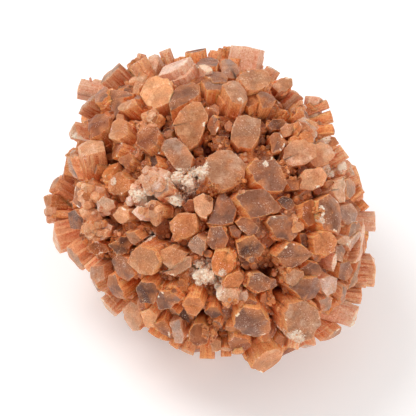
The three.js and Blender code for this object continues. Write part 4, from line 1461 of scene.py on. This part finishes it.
class ARAGONITE_OT_crystals(bpy.types.Operator):
    """Grow the large crystals of the best side, the rim and the far side, and the small ones between them"""

    bl_idname = "aragonite.crystals"
    bl_label = "Crystals"

    def execute(self, context):
        looks = context.scene.aragonite_looks
        face, rim, far, small = all_crystals()
        start = 0
        for name, rows in FACE_GROUPS.items():
            grow_group(name, face[start : start + len(rows)], looks)
            start += len(rows)
        grow_group("crystals_rim", rim, looks, openness=RIM_OPENNESS)
        grow_group("crystals_far", far, looks, **FAR_MESH)
        grow_group("crystals_small", small, looks)
        shown = face + small
        grow_group("crystals_side", side_growth(face + rim + far, shown), looks, **SIDE_MESH)
        grow_group("crystals_gap", gap_crystals(grown_trees(), shown), looks, **GAP_MESH)
        return {"FINISHED"}


class ARAGONITE_OT_druse(bpy.types.Operator):
    """Grow tiny crystals over the stone that shows in the crevices"""

    bl_idname = "aragonite.druse"
    bl_label = "Druse"

    def execute(self, context):
        looks, sizes = context.scene.aragonite_looks, context.scene.aragonite_sizes
        trees = grown_trees()
        heap = Heap()
        for seed, spot in enumerate(spread_over_form(sizes.druse_count), DRUSE_SEED):
            place, normal, clear = surface_under(trees, spot, FORM_START)
            if share_of_form(place) > DRUSE_SHARE or not clear:
                continue
            axis = unit(normal + outward_at(place) * 0.8 + leans(0.5, seed, 0, 1, 2))
            width = between(*DRUSE_WIDTHS, chance(seed, 3) ** 2)
            colours = colours_of(any_kind(DRUSE_KINDS, seed, 7), seed, looks)
            add_tiny_crystal(heap, place, axis, width, 0.0, seed, colours)
        heap.mesh_object("druse", druse_surface(looks))
        return {"FINISHED"}


class ARAGONITE_OT_knobs(bpy.types.Operator):
    """Grow the knobs of tiny crystals"""

    bl_idname = "aragonite.knobs"
    bl_label = "Knobs"

    def execute(self, context):
        looks = context.scene.aragonite_looks
        trees = grown_trees()
        heap = Heap()
        for number, (kind, middle, reach, count, usual) in enumerate(knobs()):
            first = KNOB_SEED + PATCH_SEED_STEP * number
            for seed, place, normal, share in spots_round(trees, middle, reach, count, first):
                axis = unit(normal * 0.5 + outward_at(place) + leans(0.6, seed, 0, 1, 2))
                width = usual * between(0.55, 1.35, chance(seed, 3))
                own = kind if chance(seed, 10) > 0.25 else any_kind(OTHER_KNOB_KINDS, seed, 11)
                lift = KNOB_HEIGHT * (1 - share * share) * chance(seed, 12)
                add_tiny_crystal(heap, place, axis, width, lift, seed, colours_of(own, seed, looks))
        heap.mesh_object("knobs", druse_surface(looks))
        return {"FINISHED"}


class ARAGONITE_OT_crust(bpy.types.Operator):
    """Grow the chalky crust that clings between the crystals"""

    bl_idname = "aragonite.crust"
    bl_label = "Chalky crust"

    def execute(self, context):
        trees = grown_trees()
        shape, faces = round_ball(1)
        heap = Heap()
        for number, (middle, reach, count) in enumerate(crust_patches()):
            first = CRUST_SEED + PATCH_SEED_STEP * number
            for seed, place, _, share in spots_round(trees, middle, reach, int(count * CRUST_DENSITY), first):
                radius = between(*GRAIN_RADII, chance(seed, 2) ** 2) * (1.15 - 0.4 * share)
                stretch = np.array([between(0.6, 1.5, chance(seed, k)) for k in (3, 4, 5)])
                uneven = 1 + 0.5 * noise(shape * 1.7 + seed, 5)
                grain = shape * uneven[:, None] * radius * stretch + place
                heap.add(grain, faces, np.full((len(shape), 5), chance(seed, 6)), np.full(7, 0.5))
        material = chalk_material("aragonite_chalk", context.scene.aragonite_looks)
        heap.mesh_object("chalk_crust", material, sharp_angle=GRAIN_SHARP_ANGLE)
        return {"FINISHED"}


def stand_back(thing, target, towards, distance):
    """Place a lamp or the camera at a distance from its target and turn it to face it."""
    back = Vector(STANDING @ unit(towards))
    thing.location = Vector(target) + back * distance
    thing.rotation_mode = "QUATERNION"
    thing.rotation_quaternion = back.to_track_quat("Z", "Y")


class ARAGONITE_OT_stage(bpy.types.Operator):
    """Set the floor, the lights and the camera"""

    bl_idname = "aragonite.stage"
    bl_label = "Floor, lights and camera"

    def execute(self, context):
        scene, sizes = context.scene, context.scene.aragonite_sizes
        mesh = bpy.data.meshes.new("floor")
        turns = np.arange(FLOOR_SIDES) / FLOOR_SIDES * 2 * math.pi
        corners = [(FLOOR_RADIUS * math.cos(turn), FLOOR_RADIUS * math.sin(turn), 0) for turn in turns]
        mesh.from_pydata(corners, [], [tuple(range(FLOOR_SIDES))])
        mesh.materials.append(floor_material("floor_paper", scene.aragonite_looks))
        placed("floor", mesh)

        scene.world = bpy.data.worlds.new("studio")
        scene.world.use_nodes = True
        sky = scene.world.node_tree.nodes["Background"].inputs
        sky["Color"].default_value = (1, 1, 1, 1)
        sky["Strength"].default_value = SKY_STRENGTH

        for name, towards, width, power in LAMPS:
            lamp = bpy.data.lights.new(name, "AREA")
            lamp.shape, lamp.size, lamp.energy = "DISK", width, power
            stand_back(placed(name, lamp), GROWTH_CENTRE * MM, towards, LAMP_DISTANCE)

        lens = bpy.data.cameras.new("camera")
        lens.sensor_width = SENSOR_WIDTH
        lens.lens = SENSOR_WIDTH * sizes.camera_distance / sizes.view_width
        lens.clip_start, lens.clip_end = CAMERA_RANGE
        scene.camera = placed("camera", lens)
        target = to_part([*grid_place(*VIEW_CENTRE), 0])
        stand_back(scene.camera, target, (0, 0, 1), sizes.camera_distance)
        scene.view_settings.view_transform = "Standard"
        return {"FINISHED"}


class ARAGONITE_PT_panel(bpy.types.Panel):
    """The steps that grow the cluster, in order"""

    bl_idname = "ARAGONITE_PT_panel"
    bl_label = "Aragonite Cluster"
    bl_space_type = "VIEW_3D"
    bl_region_type = "UI"
    bl_category = "Aragonite"

    def draw(self, context):
        layout = self.layout
        for group in (context.scene.aragonite_sizes, context.scene.aragonite_looks):
            box = layout.box()
            for key in group.__annotations__:
                box.prop(group, key)
        for step in STEPS:
            layout.operator(step.bl_idname)


STEPS = (
    ARAGONITE_OT_body,
    ARAGONITE_OT_crystals,
    ARAGONITE_OT_druse,
    ARAGONITE_OT_knobs,
    ARAGONITE_OT_crust,
    ARAGONITE_OT_stage,
)
CLASSES = (AragoniteLooks, AragoniteSizes, *STEPS, ARAGONITE_PT_panel)


def register():
    for each in CLASSES:
        bpy.utils.register_class(each)
    bpy.types.Scene.aragonite_looks = bpy.props.PointerProperty(type=AragoniteLooks)
    bpy.types.Scene.aragonite_sizes = bpy.props.PointerProperty(type=AragoniteSizes)


def unregister():
    del bpy.types.Scene.aragonite_sizes
    del bpy.types.Scene.aragonite_looks
    for each in reversed(CLASSES):
        bpy.utils.unregister_class(each)


def main():
    register()
    bpy.ops.aragonite.body()
    bpy.ops.aragonite.crystals()
    bpy.ops.aragonite.druse()
    bpy.ops.aragonite.knobs()
    bpy.ops.aragonite.crust()
    bpy.ops.aragonite.stage()


if __name__ == "__main__":
    main()
